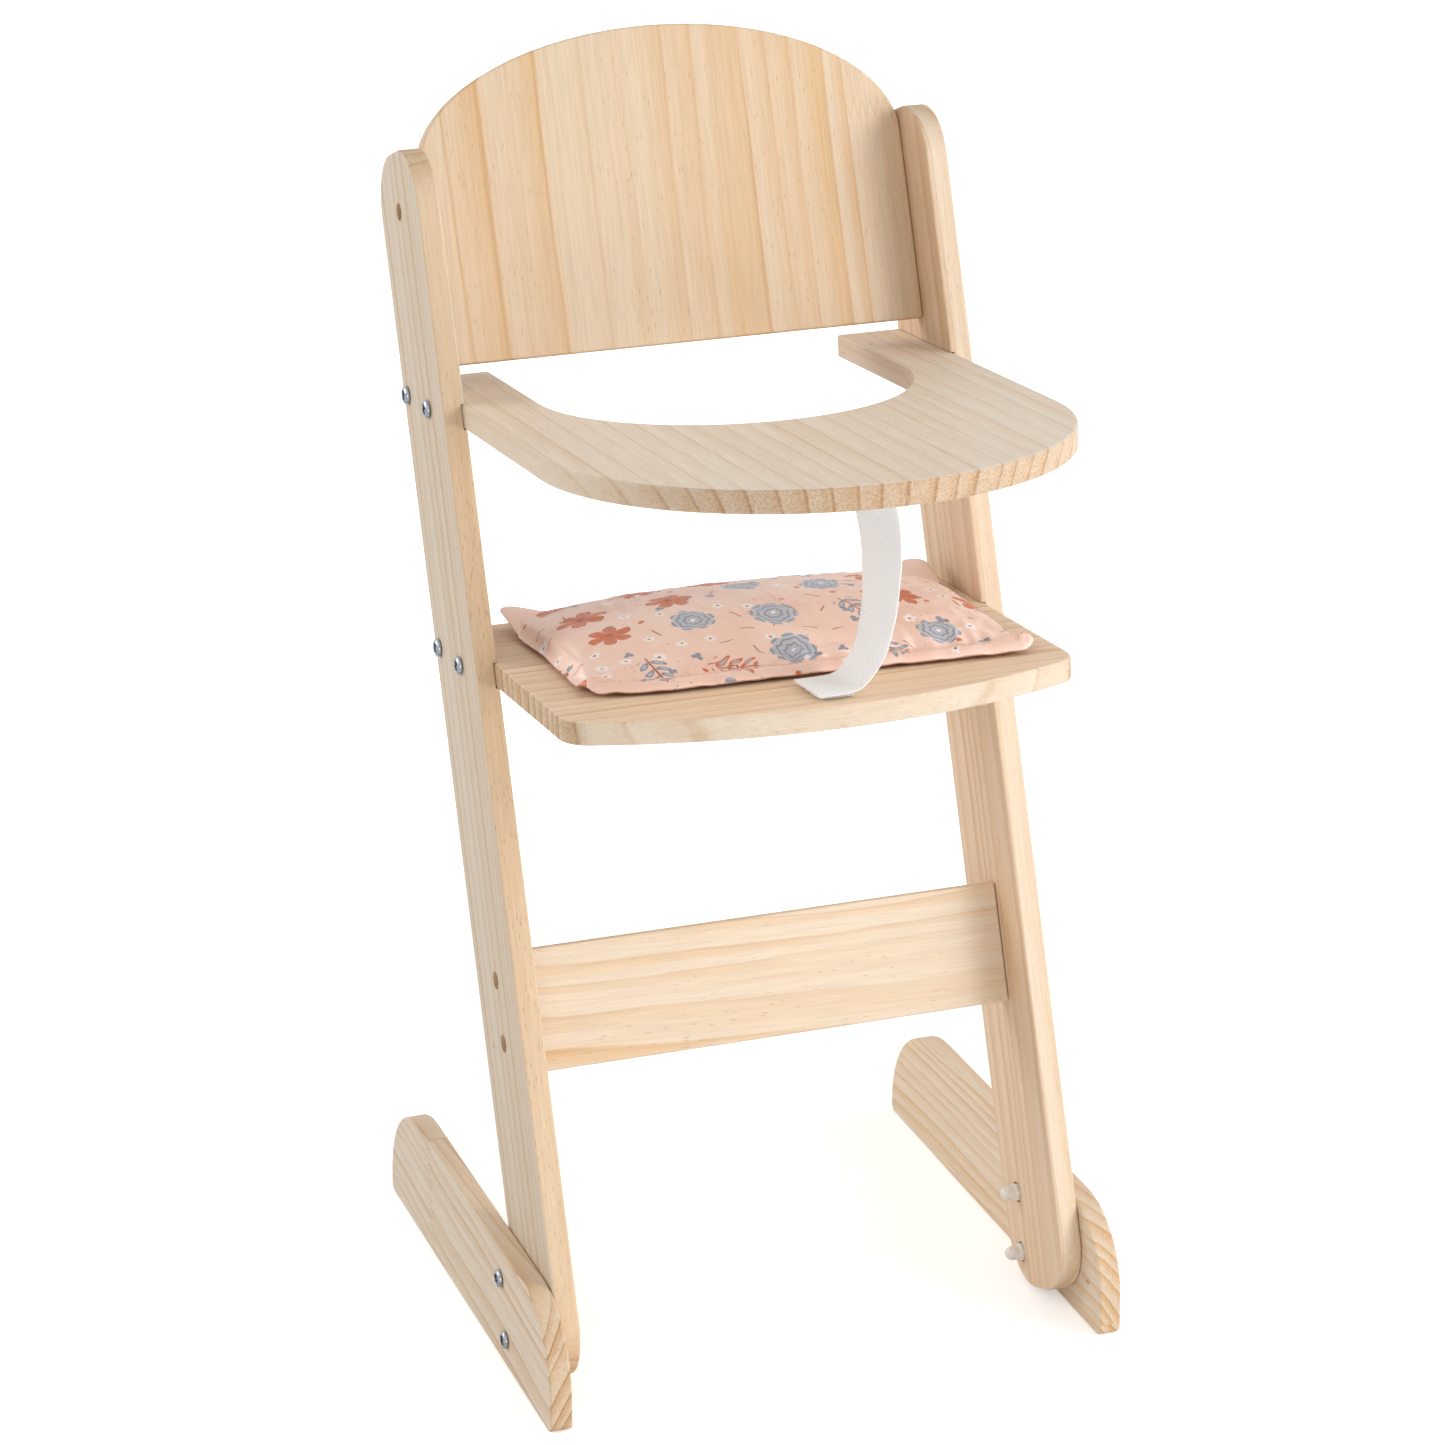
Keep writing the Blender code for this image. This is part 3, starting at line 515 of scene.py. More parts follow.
def bridge(bm, rings, steps):
    """Faces between rings of vertices, each with this many of them or with one."""
    for upper, lower in zip(rings, rings[1:]):
        for i in range(steps):
            j = (i + 1) % steps
            corners = [upper[i % len(upper)], lower[i % len(lower)], lower[j % len(lower)], upper[j % len(upper)]]
            bm.faces.new(list(dict.fromkeys(corners)))


def turn_form(bm, profile, steps=ROUND_STEPS, place=Matrix()):
    """Adds to bm a form turned about Z, from (radius, height) points that start and end on the axis."""
    rings = []
    for radius, height in profile:
        rings.append([bm.verts.new(place @ Vector((radius * math.cos(math.tau * i / steps),
                                                   radius * math.sin(math.tau * i / steps), height)))
                      for i in range(steps if radius else 1)])
    bridge(bm, rings, steps)
    return bm


def cross_cutter():
    """The plug of a cross recess, tapered towards its floor, with its mouth at z = 0."""
    bm = bmesh.new()
    reach = CROSS_SPAN / 2
    arm = CROSS_ARM / 2
    quarter = [(arm * 1.5, arm * 1.5), (arm, reach), (-arm, reach)]
    levels = []
    for height, share in ((CROSS_DEPTH, 1.3), (0.0, 1.0), (-CROSS_DEPTH * 0.45, 0.8), (-CROSS_DEPTH, 0.4)):
        ring = []
        for turn in range(4):
            spin = Matrix.Rotation(turn * math.pi / 2, 2)
            ring += [bm.verts.new((*(spin @ Vector(point) * share), height)) for point in quarter]
        levels.append(ring)
    bridge(bm, levels, len(ring))
    bm.faces.new(levels[0])
    bm.faces.new(levels[-1])
    return bm


SHOULDER_STEPS = 10
UNDER_HEAD = 0.0002


def pan_profile(shank_d, head_d, head_h, length, tip):
    """A pan head over z = 0 with a rounded shoulder, and a pointed shank under it."""
    radius = head_d / 2
    rim = head_h * 0.28
    points = [(0, head_h)]
    for i in range(1, SHOULDER_STEPS + 1):
        angle = math.pi / 2 * i / SHOULDER_STEPS
        points.append((radius * math.sin(angle) ** 0.85, rim + (head_h - rim) * math.cos(angle) ** 0.8))
    points[-1] = (radius, rim)
    return points + [(radius, UNDER_HEAD), (radius - UNDER_HEAD, 0), (shank_d / 2, 0),
                     (shank_d / 2, tip - length), (0, -length)]


def boolean_mesh(name, first, second, operation, material):
    """The first bmesh cut or joined by the second."""
    objects = [add_object(name, solid_mesh(name, bm)) for bm in (first, second)]
    modifier = objects[0].modifiers.new("cut", "BOOLEAN")
    modifier.operation = operation
    modifier.object = objects[1]
    mesh = bpy.data.meshes.new_from_object(applied(objects[0]))
    for obj in objects:
        bpy.data.objects.remove(obj)
    return finished(mesh, material)


def screw_mesh(name, head_h, length, shank_d, head_d, tip, material):
    """A pan head screw with a cross recess."""
    head = turn_form(bmesh.new(), pan_profile(shank_d, head_d, head_h, length, tip))
    plug = cross_cutter()
    bmesh.ops.translate(plug, vec=(0, 0, head_h), verts=plug.verts)
    return boolean_mesh(name, head, plug, "DIFFERENCE", material)


def add_fastener(node, mesh, sign, depth, turn):
    """A finer fastener for a node: local Z points to sign X, z = 0 is this deep behind the outermost point."""
    low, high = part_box(node)
    outer = low.x if sign < 0 else high.x
    origin = (outer - sign * depth, (low.y + high.y) / 2, (low.z + high.z) / 2)
    place = placement(origin, (0, sign, 0), (0, 0, 1)) @ Matrix.Rotation(turn, 4, "Z")
    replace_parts(add_piece(node + "_fine", mesh, "frame", place), node)


# Kind, ends, head height, length, shank and head diameters, length of the tip, material and its slot
SCREW_KINDS = (
    ("tray_screw", ("front", "back"), 0.0024, 0.030, 0.004, HEAD_D, 0.004, ZINC, "zinc"),
    ("seat_screw", ("front", "back"), 0.0024, 0.030, 0.004, HEAD_D, 0.004, ZINC, "zinc"),
    ("foot_bolt", ("low", "high"), 0.0022, 0.0235, 0.004, HEAD_D, 0.0006, ZINC, "zinc"),
    ("crossbar_screw", ("low", "high"), 0.0022, 0.026, 0.0038, 0.007, 0.004, BRONZE, "bronze_screw"),
    ("backrest_screw", ("",), 0.0022, 0.026, 0.0038, 0.007, 0.004, BRONZE, "bronze_screw"))


def add_screws():
    """Finer heads with their cross recesses, each turned by its own angle as driven screws are."""
    turns = random.Random(11)
    for kind, ends, head_h, *sizes, material, slot_name in SCREW_KINDS:
        mesh = screw_mesh(kind, head_h, *sizes, material)
        for side, sign in SIDES:
            for end in ends:
                node = "_".join(word for word in (kind, side, end) if word)
                add_fastener(node, mesh, sign, head_h, turns.uniform(0, math.pi / 2))


NUT_FLATS = 0.0074
NUT_HEX_H = 0.0036
NUT_DOME_D = 0.0064
NUT_H = 0.0096
NUT_CHAMFER = 0.0004
DOME_STEPS = 12


def nut_mesh():
    """A plastic cap nut with its tip at z = 0: a chamfered hexagon and a dome."""
    dome_r = NUT_DOME_D / 2
    angles = [math.pi / 2 * i / DOME_STEPS for i in range(DOME_STEPS + 1)]
    dome = [(dome_r * math.sin(angle), -dome_r * (1 - math.cos(angle))) for angle in angles]
    foot = -(NUT_H - NUT_HEX_H) - NUT_CHAMFER
    dome += [(dome_r, foot), (0, foot)]
    hexagon = bmesh.new()
    corner = NUT_FLATS / 2 / math.cos(math.pi / 6)
    bmesh.ops.create_cone(hexagon, cap_ends=True, segments=6, radius1=corner, radius2=corner, depth=NUT_HEX_H)
    bmesh.ops.bevel(hexagon, geom=hexagon.edges[:], offset=NUT_CHAMFER, segments=3, affect="EDGES", profile=0.5)
    bmesh.ops.translate(hexagon, vec=(0, 0, NUT_HEX_H / 2 - NUT_H), verts=hexagon.verts)
    return boolean_mesh("cap_nut", turn_form(bmesh.new(), dome), hexagon, "UNION", NYLON)


def add_cap_nuts():
    mesh = nut_mesh()
    turns = random.Random(5)
    for side, sign in SIDES:
        for level in ("low", "high"):
            add_fastener(f"cap_nut_{side}_{level}", mesh, -sign, 0.0, turns.uniform(0, 1))


# Webbing strap

WEAVE_ACROSS = 0.0052
WEAVE_ALONG = 0.0036
YARN = 0.00052


def webbing_material():
    """Narrow woven tape: a lattice of diamonds crossed by fine yarns, from the flat place (across, along), with
    painted shade where the weave lies low.
    """
    material, n = new_material("webbing", 0.62, sheen_weight=0.15, subsurface_weight=0.35,
                               subsurface_scale=0.002, subsurface_radius=(1, 1, 1))
    u, v, _ = n.separate(n.add("UVMap", uv_map="flat").outputs[0])
    across = n.over(u, WEAVE_ACROSS)
    along = n.over(v, WEAVE_ALONG)
    first = n.sin(n.times(n.plus(across, along), math.pi))
    second = n.sin(n.times(n.minus(across, along), math.pi))
    knot = n.math("POWER", n.abs(n.times(first, second)), 0.6)
    yarn = n.abs(n.sin(n.times(n.over(u, YARN), math.pi)))
    pick = n.abs(n.sin(n.times(n.over(v, YARN), math.pi)))
    height = n.plus(n.times(knot, 0.8), n.times(n.times(yarn, pick), 0.2))
    # Painted shade: the weave's low places darker and its raised diamonds lighter
    n.shade("Base Color", n.mix(n.step(height, 0.1, 0.75), rgb(0.89, 0.94, 1.0), rgb(0.94, 0.98, 1.0)))
    n.shade("Normal", n.bump(height, 0.00010))
    return material


def smooth_path(points, steps):
    """Points on a smooth curve through the given ones (Catmull-Rom)."""
    points = [Vector(point) for point in points]
    padded = [2 * points[0] - points[1]] + points + [2 * points[-1] - points[-2]]
    path = []
    for a, b, c, d in zip(padded, padded[1:], padded[2:], padded[3:]):
        for i in range(steps):
            t = i / steps
            bend = (2 * a - 5 * b + 4 * c - d) * t + (3 * b - a - 3 * c + d) * t * t
            path.append(b + ((c - a) + bend) * (t / 2))
    return path + [points[-1]]


def strap_stations(steps):
    """Middle points of the strap with the direction of its width, from the seat to the tray."""
    seat_middle = SEAT_FRAME @ Vector((0, -STRAP_PLACE, PATCH_T + 2 * PLAY + STRAP_T / 2))
    drop = seat_middle.y - TRAY_FRAME.translation.y
    tray_under = TRAY_FRAME @ Vector((0, drop / math.cos(TILT), -TRAY_T - PLAY - STRAP_T / 2))
    rise = tray_under.z - seat_middle.z
    span = STRAP_BULGE_X - STRAP_END_X
    route = [(STRAP_END_X + x_share * span, z_share) for x_share, z_share in STRAP_ROUTE_SHARES]
    stations = []
    y = seat_middle.y
    last_x = route[0][0]
    for x, z_share in smooth_path(route, steps):
        turn = STRAP_TWIST * z_share
        y += (x - last_x) * math.tan(turn)
        last_x = x
        fall = (y - seat_middle.y) * math.tan(TILT)
        width = Matrix.Rotation(turn, 3, "Z") @ -BACKWARD
        stations.append((Vector((x, y, seat_middle.z + rise * z_share - fall)), width))
    return stations


STRAP_ROWS = 30
STRAP_STEPS = 12
SELVEDGE = 0.0016
FRAY = 0.0005


def add_strap(material):
    """A webbing ribbon with rounded selvedges and a slightly ragged cut end."""
    stations = strap_stations(STRAP_STEPS)
    ragged = random.Random(3)
    fray = [ragged.uniform(-FRAY, FRAY) for _ in range(STRAP_ROWS + 1)]
    bm = bmesh.new()
    flat = bm.loops.layers.uv.new("flat")
    length = 0.0
    rings = []
    places = []
    for index, (middle, width) in enumerate(stations):
        ahead = (stations[min(index + 1, len(stations) - 1)][0] - stations[max(index - 1, 0)][0]).normalized()
        normal = ahead.cross(width).normalized()
        if index:
            length += (middle - stations[index - 1][0]).length
        upper = []
        lower = []
        for row in range(STRAP_ROWS + 1):
            out = (row / STRAP_ROWS - 0.5) * STRAP_W
            edge = max(0.0, (abs(out) - (STRAP_W / 2 - SELVEDGE)) / SELVEDGE)
            half = STRAP_T / 2 * math.sqrt(max(0.06, 1 - edge ** 2 * 0.94))
            ends = fray[row] if index == 0 else 0.0
            spot = middle + width * out + ahead * ends
            upper.append(bm.verts.new(spot + normal * half))
            lower.append(bm.verts.new(spot - normal * half))
            places.append((out, length))
        rings.append(upper + lower[::-1])
    count = len(rings[0])
    row_of = [*range(STRAP_ROWS + 1), *range(STRAP_ROWS, -1, -1)]
    for index, (first, second) in enumerate(zip(rings, rings[1:])):
        for i in range(count):
            j = (i + 1) % count
            quad = bm.faces.new((first[i], first[j], second[j], second[i]))
            corners = ((index, i), (index, j), (index + 1, j), (index + 1, i))
            for loop, (ring_at, column) in zip(quad.loops, corners):
                loop[flat].uv = places[ring_at * (STRAP_ROWS + 1) + row_of[column]]
    for ring in (rings[0], rings[-1]):
        for i in range(STRAP_ROWS):
            bm.faces.new((ring[i], ring[i + 1], ring[count - 2 - i], ring[count - 1 - i]))
    mesh = finished(solid_mesh("strap_webbing", bm), material)
    strap = add_piece("strap_webbing", mesh, "frame")
    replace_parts(strap, "strap")


def tape_material():
    """Hook tape: rows of tiny loops."""
    material, n = new_material("hook_tape", 0.8)
    cells = n.cells(n.scaled(n.here(), 1400.0))["Distance"]
    n.shade("Base Color", n.mix(cells, rgb(0.86, 0.86, 0.88), rgb(0.6, 0.6, 0.64)))
    n.shade("Normal", n.bump(cells, 0.0003))
    return material


# Cushion

COLUMNS = 108
ROWS = 66
CUT_W = 0.2005
CUT_D = 0.1445
CORNER_R = 0.010
START_CROWN = 0.008
SIM_SCALE = 10.0
SIM_FRAMES = 16
CLOTH = {"quality": 4, "mass": 0.05, "tension_stiffness": 15, "compression_stiffness": 15,
         "shear_stiffness": 4.5, "bending_stiffness": 0.01, "use_pressure": True, "uniform_pressure_force": 0,
         "use_pressure_volume": True, "target_volume": 0.30, "pressure_factor": 60,
         "use_sewing_springs": True, "sewing_force_max": 2}
DRAWN_IN = 0.55
HEM_ROW = 3
HEM = CUT_D / ROWS * HEM_ROW
FILLED_CROWN = 0.0200
HEM_LIFT = 0.0042
LOWEST = 0.0002
LAYER_T = 0.0004
WRINKLE_LIMIT = 0.0009
BOTTOM_UV = 0.5
SHEAR = 0.045
FRONT_LEFT_TUCK = 0.006
CORNER_PLUMP = 0.0040

# Lift and its reach, for the rim at the sides and at the back, and for each corner after its two sides
SIDE_LIFT = (0.0016, 0.012)
BACK_LIFT = (0.0045, 0.030)
CORNER_LIFTS = ((-1, 1, 0.0090, 0.045), (1, 1, 0.0110, 0.055), (1, -1, 0.0010, 0.035), (-1, -1, 0.0010, 0.030))

# Gathers behind the hem's stitches: their spacing, its drift, their depth and reach
GATHER = 0.0094
GATHER_DRIFT = 0.037
GATHER_DEPTH = 0.0036
GATHER_REACH = 0.0085

# Longer creases: their width, then the place along the hem, the length and the depth of each
CREASE_W = 0.0022
LONG_CREASES = ((-0.050, 0.012, 0.0009), (-0.034, 0.020, 0.0011), (-0.006, 0.034, 0.0012),
                (0.003, 0.022, 0.0009), (0.047, 0.016, 0.0008), (0.074, 0.012, 0.0007))


def flat_place(i, j):
    """Where a crossing of the cut cloth's grid lies, with the panel's corners rounded."""
    x = (i / COLUMNS - 0.5) * CUT_W
    y = (j / ROWS - 0.5) * CUT_D
    over_x = abs(x) - (CUT_W / 2 - CORNER_R)
    over_y = abs(y) - (CUT_D / 2 - CORNER_R)
    if over_x > 0 and over_y > 0:
        share = max(over_x, over_y) / math.hypot(over_x, over_y)
        x = math.copysign(CUT_W / 2 - CORNER_R + over_x * share, x)
        y = math.copysign(CUT_D / 2 - CORNER_R + over_y * share, y)
    return x, y


def on_rim(i, j):
    return i in (0, COLUMNS) or j in (0, ROWS)


def sewn_panels():
    """Two panels of satin that share their rim: the bmesh and each side's grid of vertices."""
    bm = bmesh.new()
    flat = bm.loops.layers.uv.new("flat")
    grids = []
    for side in (1, -1):
        grid = []
        for j in range(ROWS + 1):
            row = []
            for i in range(COLUMNS + 1):
                if side < 0 and on_rim(i, j):
                    row.append(grids[0][j][i])
                    continue
                x, y = flat_place(i, j)
                crown = (1 - (2 * x / CUT_W) ** 2) * (1 - (2 * y / CUT_D) ** 2)
                row.append(bm.verts.new((x, y, side * START_CROWN * crown)))
            grid.append(row)
        grids.append(grid)
        for j in range(ROWS):
            for i in range(COLUMNS):
                corners = [(i, j), (i + 1, j), (i + 1, j + 1), (i, j + 1)][::side]
                quad = bm.faces.new([grid[row][column] for column, row in corners])
                for loop, corner in zip(quad.loops, corners):
                    x, y = flat_place(*corner)
                    loop[flat].uv = (x if side > 0 else x + BOTTOM_UV, y)
    bm.verts.index_update()
    return bm, grids


def filled_places(bm, grids):
    """Where the panels' points go when the cloth is filled and sewn through along its front hem."""
    sewing = bm.copy()
    sewing.verts.ensure_lookup_table()
    for i in range(2, COLUMNS - 1, 2):
        upper, lower = (sewing.verts[grid[HEM_ROW][i].index] for grid in grids)
        sewing.edges.new((upper, lower))
    bmesh.ops.scale(sewing, vec=(SIM_SCALE,) * 3, verts=sewing.verts)
    cover = add_object("filling", plain_mesh("filling", sewing))
    cloth = cover.modifiers.new("cloth", "CLOTH")
    for key, value in CLOTH.items():
        setattr(cloth.settings, key, value)
    cloth.settings.effector_weights.gravity = 0
    cloth.collision_settings.use_collision = False
    cloth.point_cache.frame_start = 1
    cloth.point_cache.frame_end = SIM_FRAMES
    for step in range(1, SIM_FRAMES + 1):
        SCENE.frame_set(step)
    places = [vert.co / SIM_SCALE for vert in applied(cover).data.vertices]
    bpy.data.objects.remove(cover)
    SCENE.frame_set(1)
    return places


def fade(value, reach):
    """1 at 0, falling smoothly to 0 at reach."""
    share = min(max(value / reach, 0.0), 1.0)
    return 1 - share * share * (3 - 2 * share)


def blurred(rows, reach):
    """A grid of numbers averaged over squares that reach this many cells each way, twice."""
    for _ in range(4):
        spans = [[row[max(0, k - reach):k + reach + 1] for k in range(len(row))] for row in rows]
        rows = [list(column) for column in zip(*[[sum(span) / len(span) for span in line] for line in spans])]
    return rows


def seam_lift(x, y):
    """How far the underside stands off the seat: at its rim, its corners and along the front hem."""
    behind_front = y + CUSHION_D / 2
    lift = max(SIDE_LIFT[0] * fade(CUSHION_W / 2 - abs(x), SIDE_LIFT[1]),
               BACK_LIFT[0] * fade(CUSHION_D / 2 - y, BACK_LIFT[1]))
    if behind_front < HEM:
        lift = LOWEST + (HEM_LIFT - LOWEST) * max(0.0, behind_front / HEM) ** 0.8
    else:
        lift = max(lift, HEM_LIFT * fade(behind_front - HEM, 0.020))
    for side_x, side_y, height, reach in CORNER_LIFTS:
        away = math.hypot(x - side_x * CUSHION_W / 2, y - side_y * CUSHION_D / 2)
        lift = max(lift, height * fade(away, reach))
    return lift


def hem_waves(x):
    """The soft ups and downs of the hem between its gathers, from -1 to 1."""
    return (math.sin(x * math.tau / 0.017 + 1.0) + 0.7 * math.sin(x * math.tau / 0.0093 + 2.3)
            + 0.5 * math.sin(x * math.tau / 0.031)) / 2.2


def pucker(x, behind):
    """How deep the cloth is drawn in behind the hem's stitches."""
    gather = 0.5 + 0.5 * math.sin(x * math.tau / GATHER + 1.8 * math.sin(x * math.tau / GATHER_DRIFT))
    depth = GATHER_DEPTH * gather * math.exp(-behind / GATHER_REACH)
    for place, length, deep in LONG_CREASES:
        slant = place + 0.12 * behind * (1 if place > 0 else -1)
        depth += 1.9 * deep * math.exp(-((x - slant) / CREASE_W) ** 2) * fade(behind, length)
    return depth


def filling(x, y, behind, low):
    """The filling's thickness over the underside's height low: it rises at once behind the hem's stitches."""
    across = min(1.0, abs(2 * x / CUSHION_W))
    crown = FILLED_CROWN * max(0.0, 1 - across ** 3.2) ** 0.62
    if y > 0:
        return crown * max(0.0, 1 - min(1.0, 2 * y / CUSHION_D) ** 2.6) ** 0.80 - low
    share = behind / (behind - y)
    return (crown - low) * (1 - (1 - share) ** 1.9) ** 0.74


def rest_cushion(places, grids):
    """Lays the filled cover on the seat: flat below, crowned above, its rim and corners lifted."""
    pairs = [[(places[top.index], places[low.index]) for top, low in zip(*row)] for row in zip(*grids)]
    heights = [[(top - low).z for top, low in row] for row in pairs]
    smooth = blurred(heights, 3)
    for j in range(ROWS + 1):
        for i in range(COLUMNS + 1):
            flat_x, flat_y = flat_place(i, j)
            flat_x *= CUSHION_W / CUT_W
            flat_y *= CUSHION_D / CUT_D
            middle = (pairs[j][i][0] + pairs[j][i][1]) / 2
            x = flat_x + (middle.x - flat_x) * DRAWN_IN
            y = flat_y + (middle.y - flat_y) * DRAWN_IN
            tuck = fade(math.hypot(x + CUSHION_W / 2, y + CUSHION_D / 2), 0.040)
            x -= SHEAR * y
            y = max(y, -CUSHION_D / 2) + FRONT_LEFT_TUCK * tuck
            low = seam_lift(flat_x, flat_y)
            behind = flat_y + CUSHION_D / 2 - HEM
            wave = 0.0005 * hem_waves(flat_x) * fade(abs(behind + HEM), 0.012)
            low = max(LOWEST, low + wave)
            if on_rim(i, j):
                grids[0][j][i].co = (x, y, low + LAYER_T / 2)
                continue
            wrinkle = max(-WRINKLE_LIMIT, min(WRINKLE_LIMIT, heights[j][i] - smooth[j][i]))
            edge = CUSHION_W / 2 - abs(flat_x)
            if behind <= 0:
                roll = math.sin(math.pi * (behind + HEM) / HEM) * min(1.0, edge / 0.004)
                thick = 0.0006 + 0.0022 * roll * (0.8 + 0.3 * hem_waves(flat_x + 0.004))
            else:
                thick = filling(flat_x, flat_y, behind, low)
                thick += wrinkle * (1 - fade(behind, 0.018)) - pucker(flat_x, behind)
                corner = fade(math.hypot(edge, behind), 0.032)
                thick = max(thick, CORNER_PLUMP * corner * min(1.0, edge / 0.006) ** 0.5)
            grids[0][j][i].co = (x, y, low + max(LAYER_T, thick))
            grids[1][j][i].co = (x, y, low)


# Cushion cloth

PEACH = rgb(0.940, 0.715, 0.620)
PEACH_CLOUD = rgb(0.905, 0.640, 0.540)
# Painted shade along the rim's seam and on the underside near the rim
CORAL_PAINTED_SHADE = rgb(0.600, 0.250, 0.160)
CORAL = rgb(0.660, 0.195, 0.090)
TERRACOTTA = rgb(0.420, 0.110, 0.050)
GREY_BLUE = rgb(0.305, 0.328, 0.392)
PALE_GREY = rgb(0.527, 0.559, 0.631)
PRINT_WHITE = rgb(0.956, 0.896, 0.871)

# Cell size, seed and scatter of the dots, the small motifs and the large ones
DOTS = (0.0034, 2.0, 1.0)
SMALL_MOTIFS = (0.0125, 9.0, 0.85)
LARGE_MOTIFS = (0.033, 6.4, 0.5)
LEAF_PITCH = 0.0054
SATIN_YARN = 0.00036


def printed(n, place, cell, seed, scatter):
    """Scattered places for motifs: each point's polar place in its motif, the motif's kind and size."""
    spread = n.vector("ADD", n.scaled(place, 1 / cell), n.combine(seed, seed * 1.7))
    cells = n.cells(spread, scatter, voronoi_dimensions="2D")
    away = n.scaled(n.vector("SUBTRACT", spread, cells["Position"]), cell)
    kind, spin, size = n.separate(cells["Color"])
    x, y, _ = n.separate(away)
    angle = n.plus(n.math("ARCTAN2", y, x), n.times(spin, math.tau))
    return n.length(away), angle, kind, size


def petals(n, radius, angle, count, reach, waist):
    """How far a place lies inside a flower of rounded petals, and less than 0 outside it."""
    lobe = n.abs(n.cos(n.times(angle, count / 2)))
    rim = n.times(n.linear(n.math("POWER", lobe, 0.55), 1 - waist, waist), reach)
    return n.minus(rim, radius)


def inside(n, margin, softness=0.00025):
    """1 where the margin is over 0, 0 where it is under, soft between."""
    return n.step(margin, -softness, softness)


def within(n, value, reach, softness=0.00025):
    """1 where the value is under its reach, else 0."""
    return inside(n, n.minus(reach, value), softness)


def among(n, value, low, high):
    """1 where value lies between low and high, else 0."""
    return n.times(n.above(value, low), n.below(value, high))


def print_small(n, colour, place):
    """Dots, small white flowers, grey trefoils and short stems."""
    radius, _, kind, _ = printed(n, place, *DOTS)
    patches = n.step(n.noise(place, 1.0, scale=45.0), 0.56, 0.60)
    dots = n.times(within(n, radius, 0.00030), among(n, kind, 0.0, 0.45))
    colour = n.mix(n.times(dots, patches), colour, GREY_BLUE)

    radius, angle, kind, size = printed(n, place, *SMALL_MOTIFS)
    reach = n.linear(size, 0.0012, 0.0022)
    flower = inside(n, petals(n, radius, angle, 5, reach, 0.5))
    chosen = among(n, kind, 0.0, 0.27)
    colour = n.mix(n.times(flower, chosen), colour, PRINT_WHITE)
    colour = n.mix(n.times(within(n, radius, 0.0007), chosen), colour, TERRACOTTA)
    trefoil = inside(n, petals(n, radius, angle, 3, reach, 0.25))
    colour = n.mix(n.times(trefoil, among(n, kind, 0.27, 0.42)), colour, GREY_BLUE)
    colour = n.mix(n.times(within(n, radius, 0.0013), among(n, kind, 0.42, 0.52)), colour, CORAL)
    side = n.abs(n.times(radius, n.sin(angle)))
    stem = n.times(within(n, side, 0.00030), within(n, radius, 0.0031))
    return n.mix(n.times(stem, among(n, kind, 0.52, 0.72)), colour, TERRACOTTA)


def print_large(n, colour, place):
    """Coral flowers, grey flowers and sprays of paired leaves."""
    radius, angle, kind, size = printed(n, place, *LARGE_MOTIFS)
    margin = petals(n, radius, angle, 6, n.linear(size, 0.002, 0.0095), 0.40)
    chosen = among(n, kind, 0.0, 0.46)
    vein = within(n, n.abs(n.sin(n.times(angle, 3.0))), 0.09, 0.05)
    vein = n.times(vein, n.below(radius, 0.0066))
    rim = within(n, n.abs(margin), 0.00045)
    marks = n.most(n.most(vein, rim), within(n, radius, 0.0018))
    petal = n.mix(marks, CORAL, TERRACOTTA)
    colour = n.mix(n.times(inside(n, margin), chosen), colour, petal)

    margin = petals(n, radius, angle, 8, n.linear(size, 0.002, 0.0088), 0.74)
    chosen = among(n, kind, 0.46, 0.68)
    rings = n.sin(n.plus(n.times(radius, math.tau / 0.0029), n.times(n.cos(n.times(angle, 8.0)), 0.9)))
    petal = n.mix(n.step(rings, 0.2, 0.8), PALE_GREY, GREY_BLUE)
    petal = n.mix(within(n, radius, 0.0011), petal, PRINT_WHITE)
    colour = n.mix(n.times(inside(n, margin), chosen), colour, petal)

    chosen = among(n, kind, 0.68, 0.93)
    side = n.abs(n.times(radius, n.sin(angle)))
    stem = n.times(within(n, side, 0.00035), within(n, radius, 0.0115))
    colour = n.mix(n.times(stem, chosen), colour, TERRACOTTA)
    swept = n.minus(n.times(radius, n.cos(angle)), n.times(side, 0.8))
    step = n.minus(n.math("WRAP", swept, LEAF_PITCH, 0.0), LEAF_PITCH / 2)
    out = n.minus(side, 0.0033)
    leaf = n.length(n.combine(n.over(out, 0.0029), n.over(step, 0.0017)))
    leaves = n.times(within(n, leaf, 1.0, 0.12), within(n, radius, 0.0100))
    tint = n.mix(n.above(size, 0.5), GREY_BLUE, CORAL)
    tint = n.mix(within(n, leaf, 0.55, 0.15), tint, PALE_GREY)
    return n.mix(n.times(leaves, chosen), colour, tint)


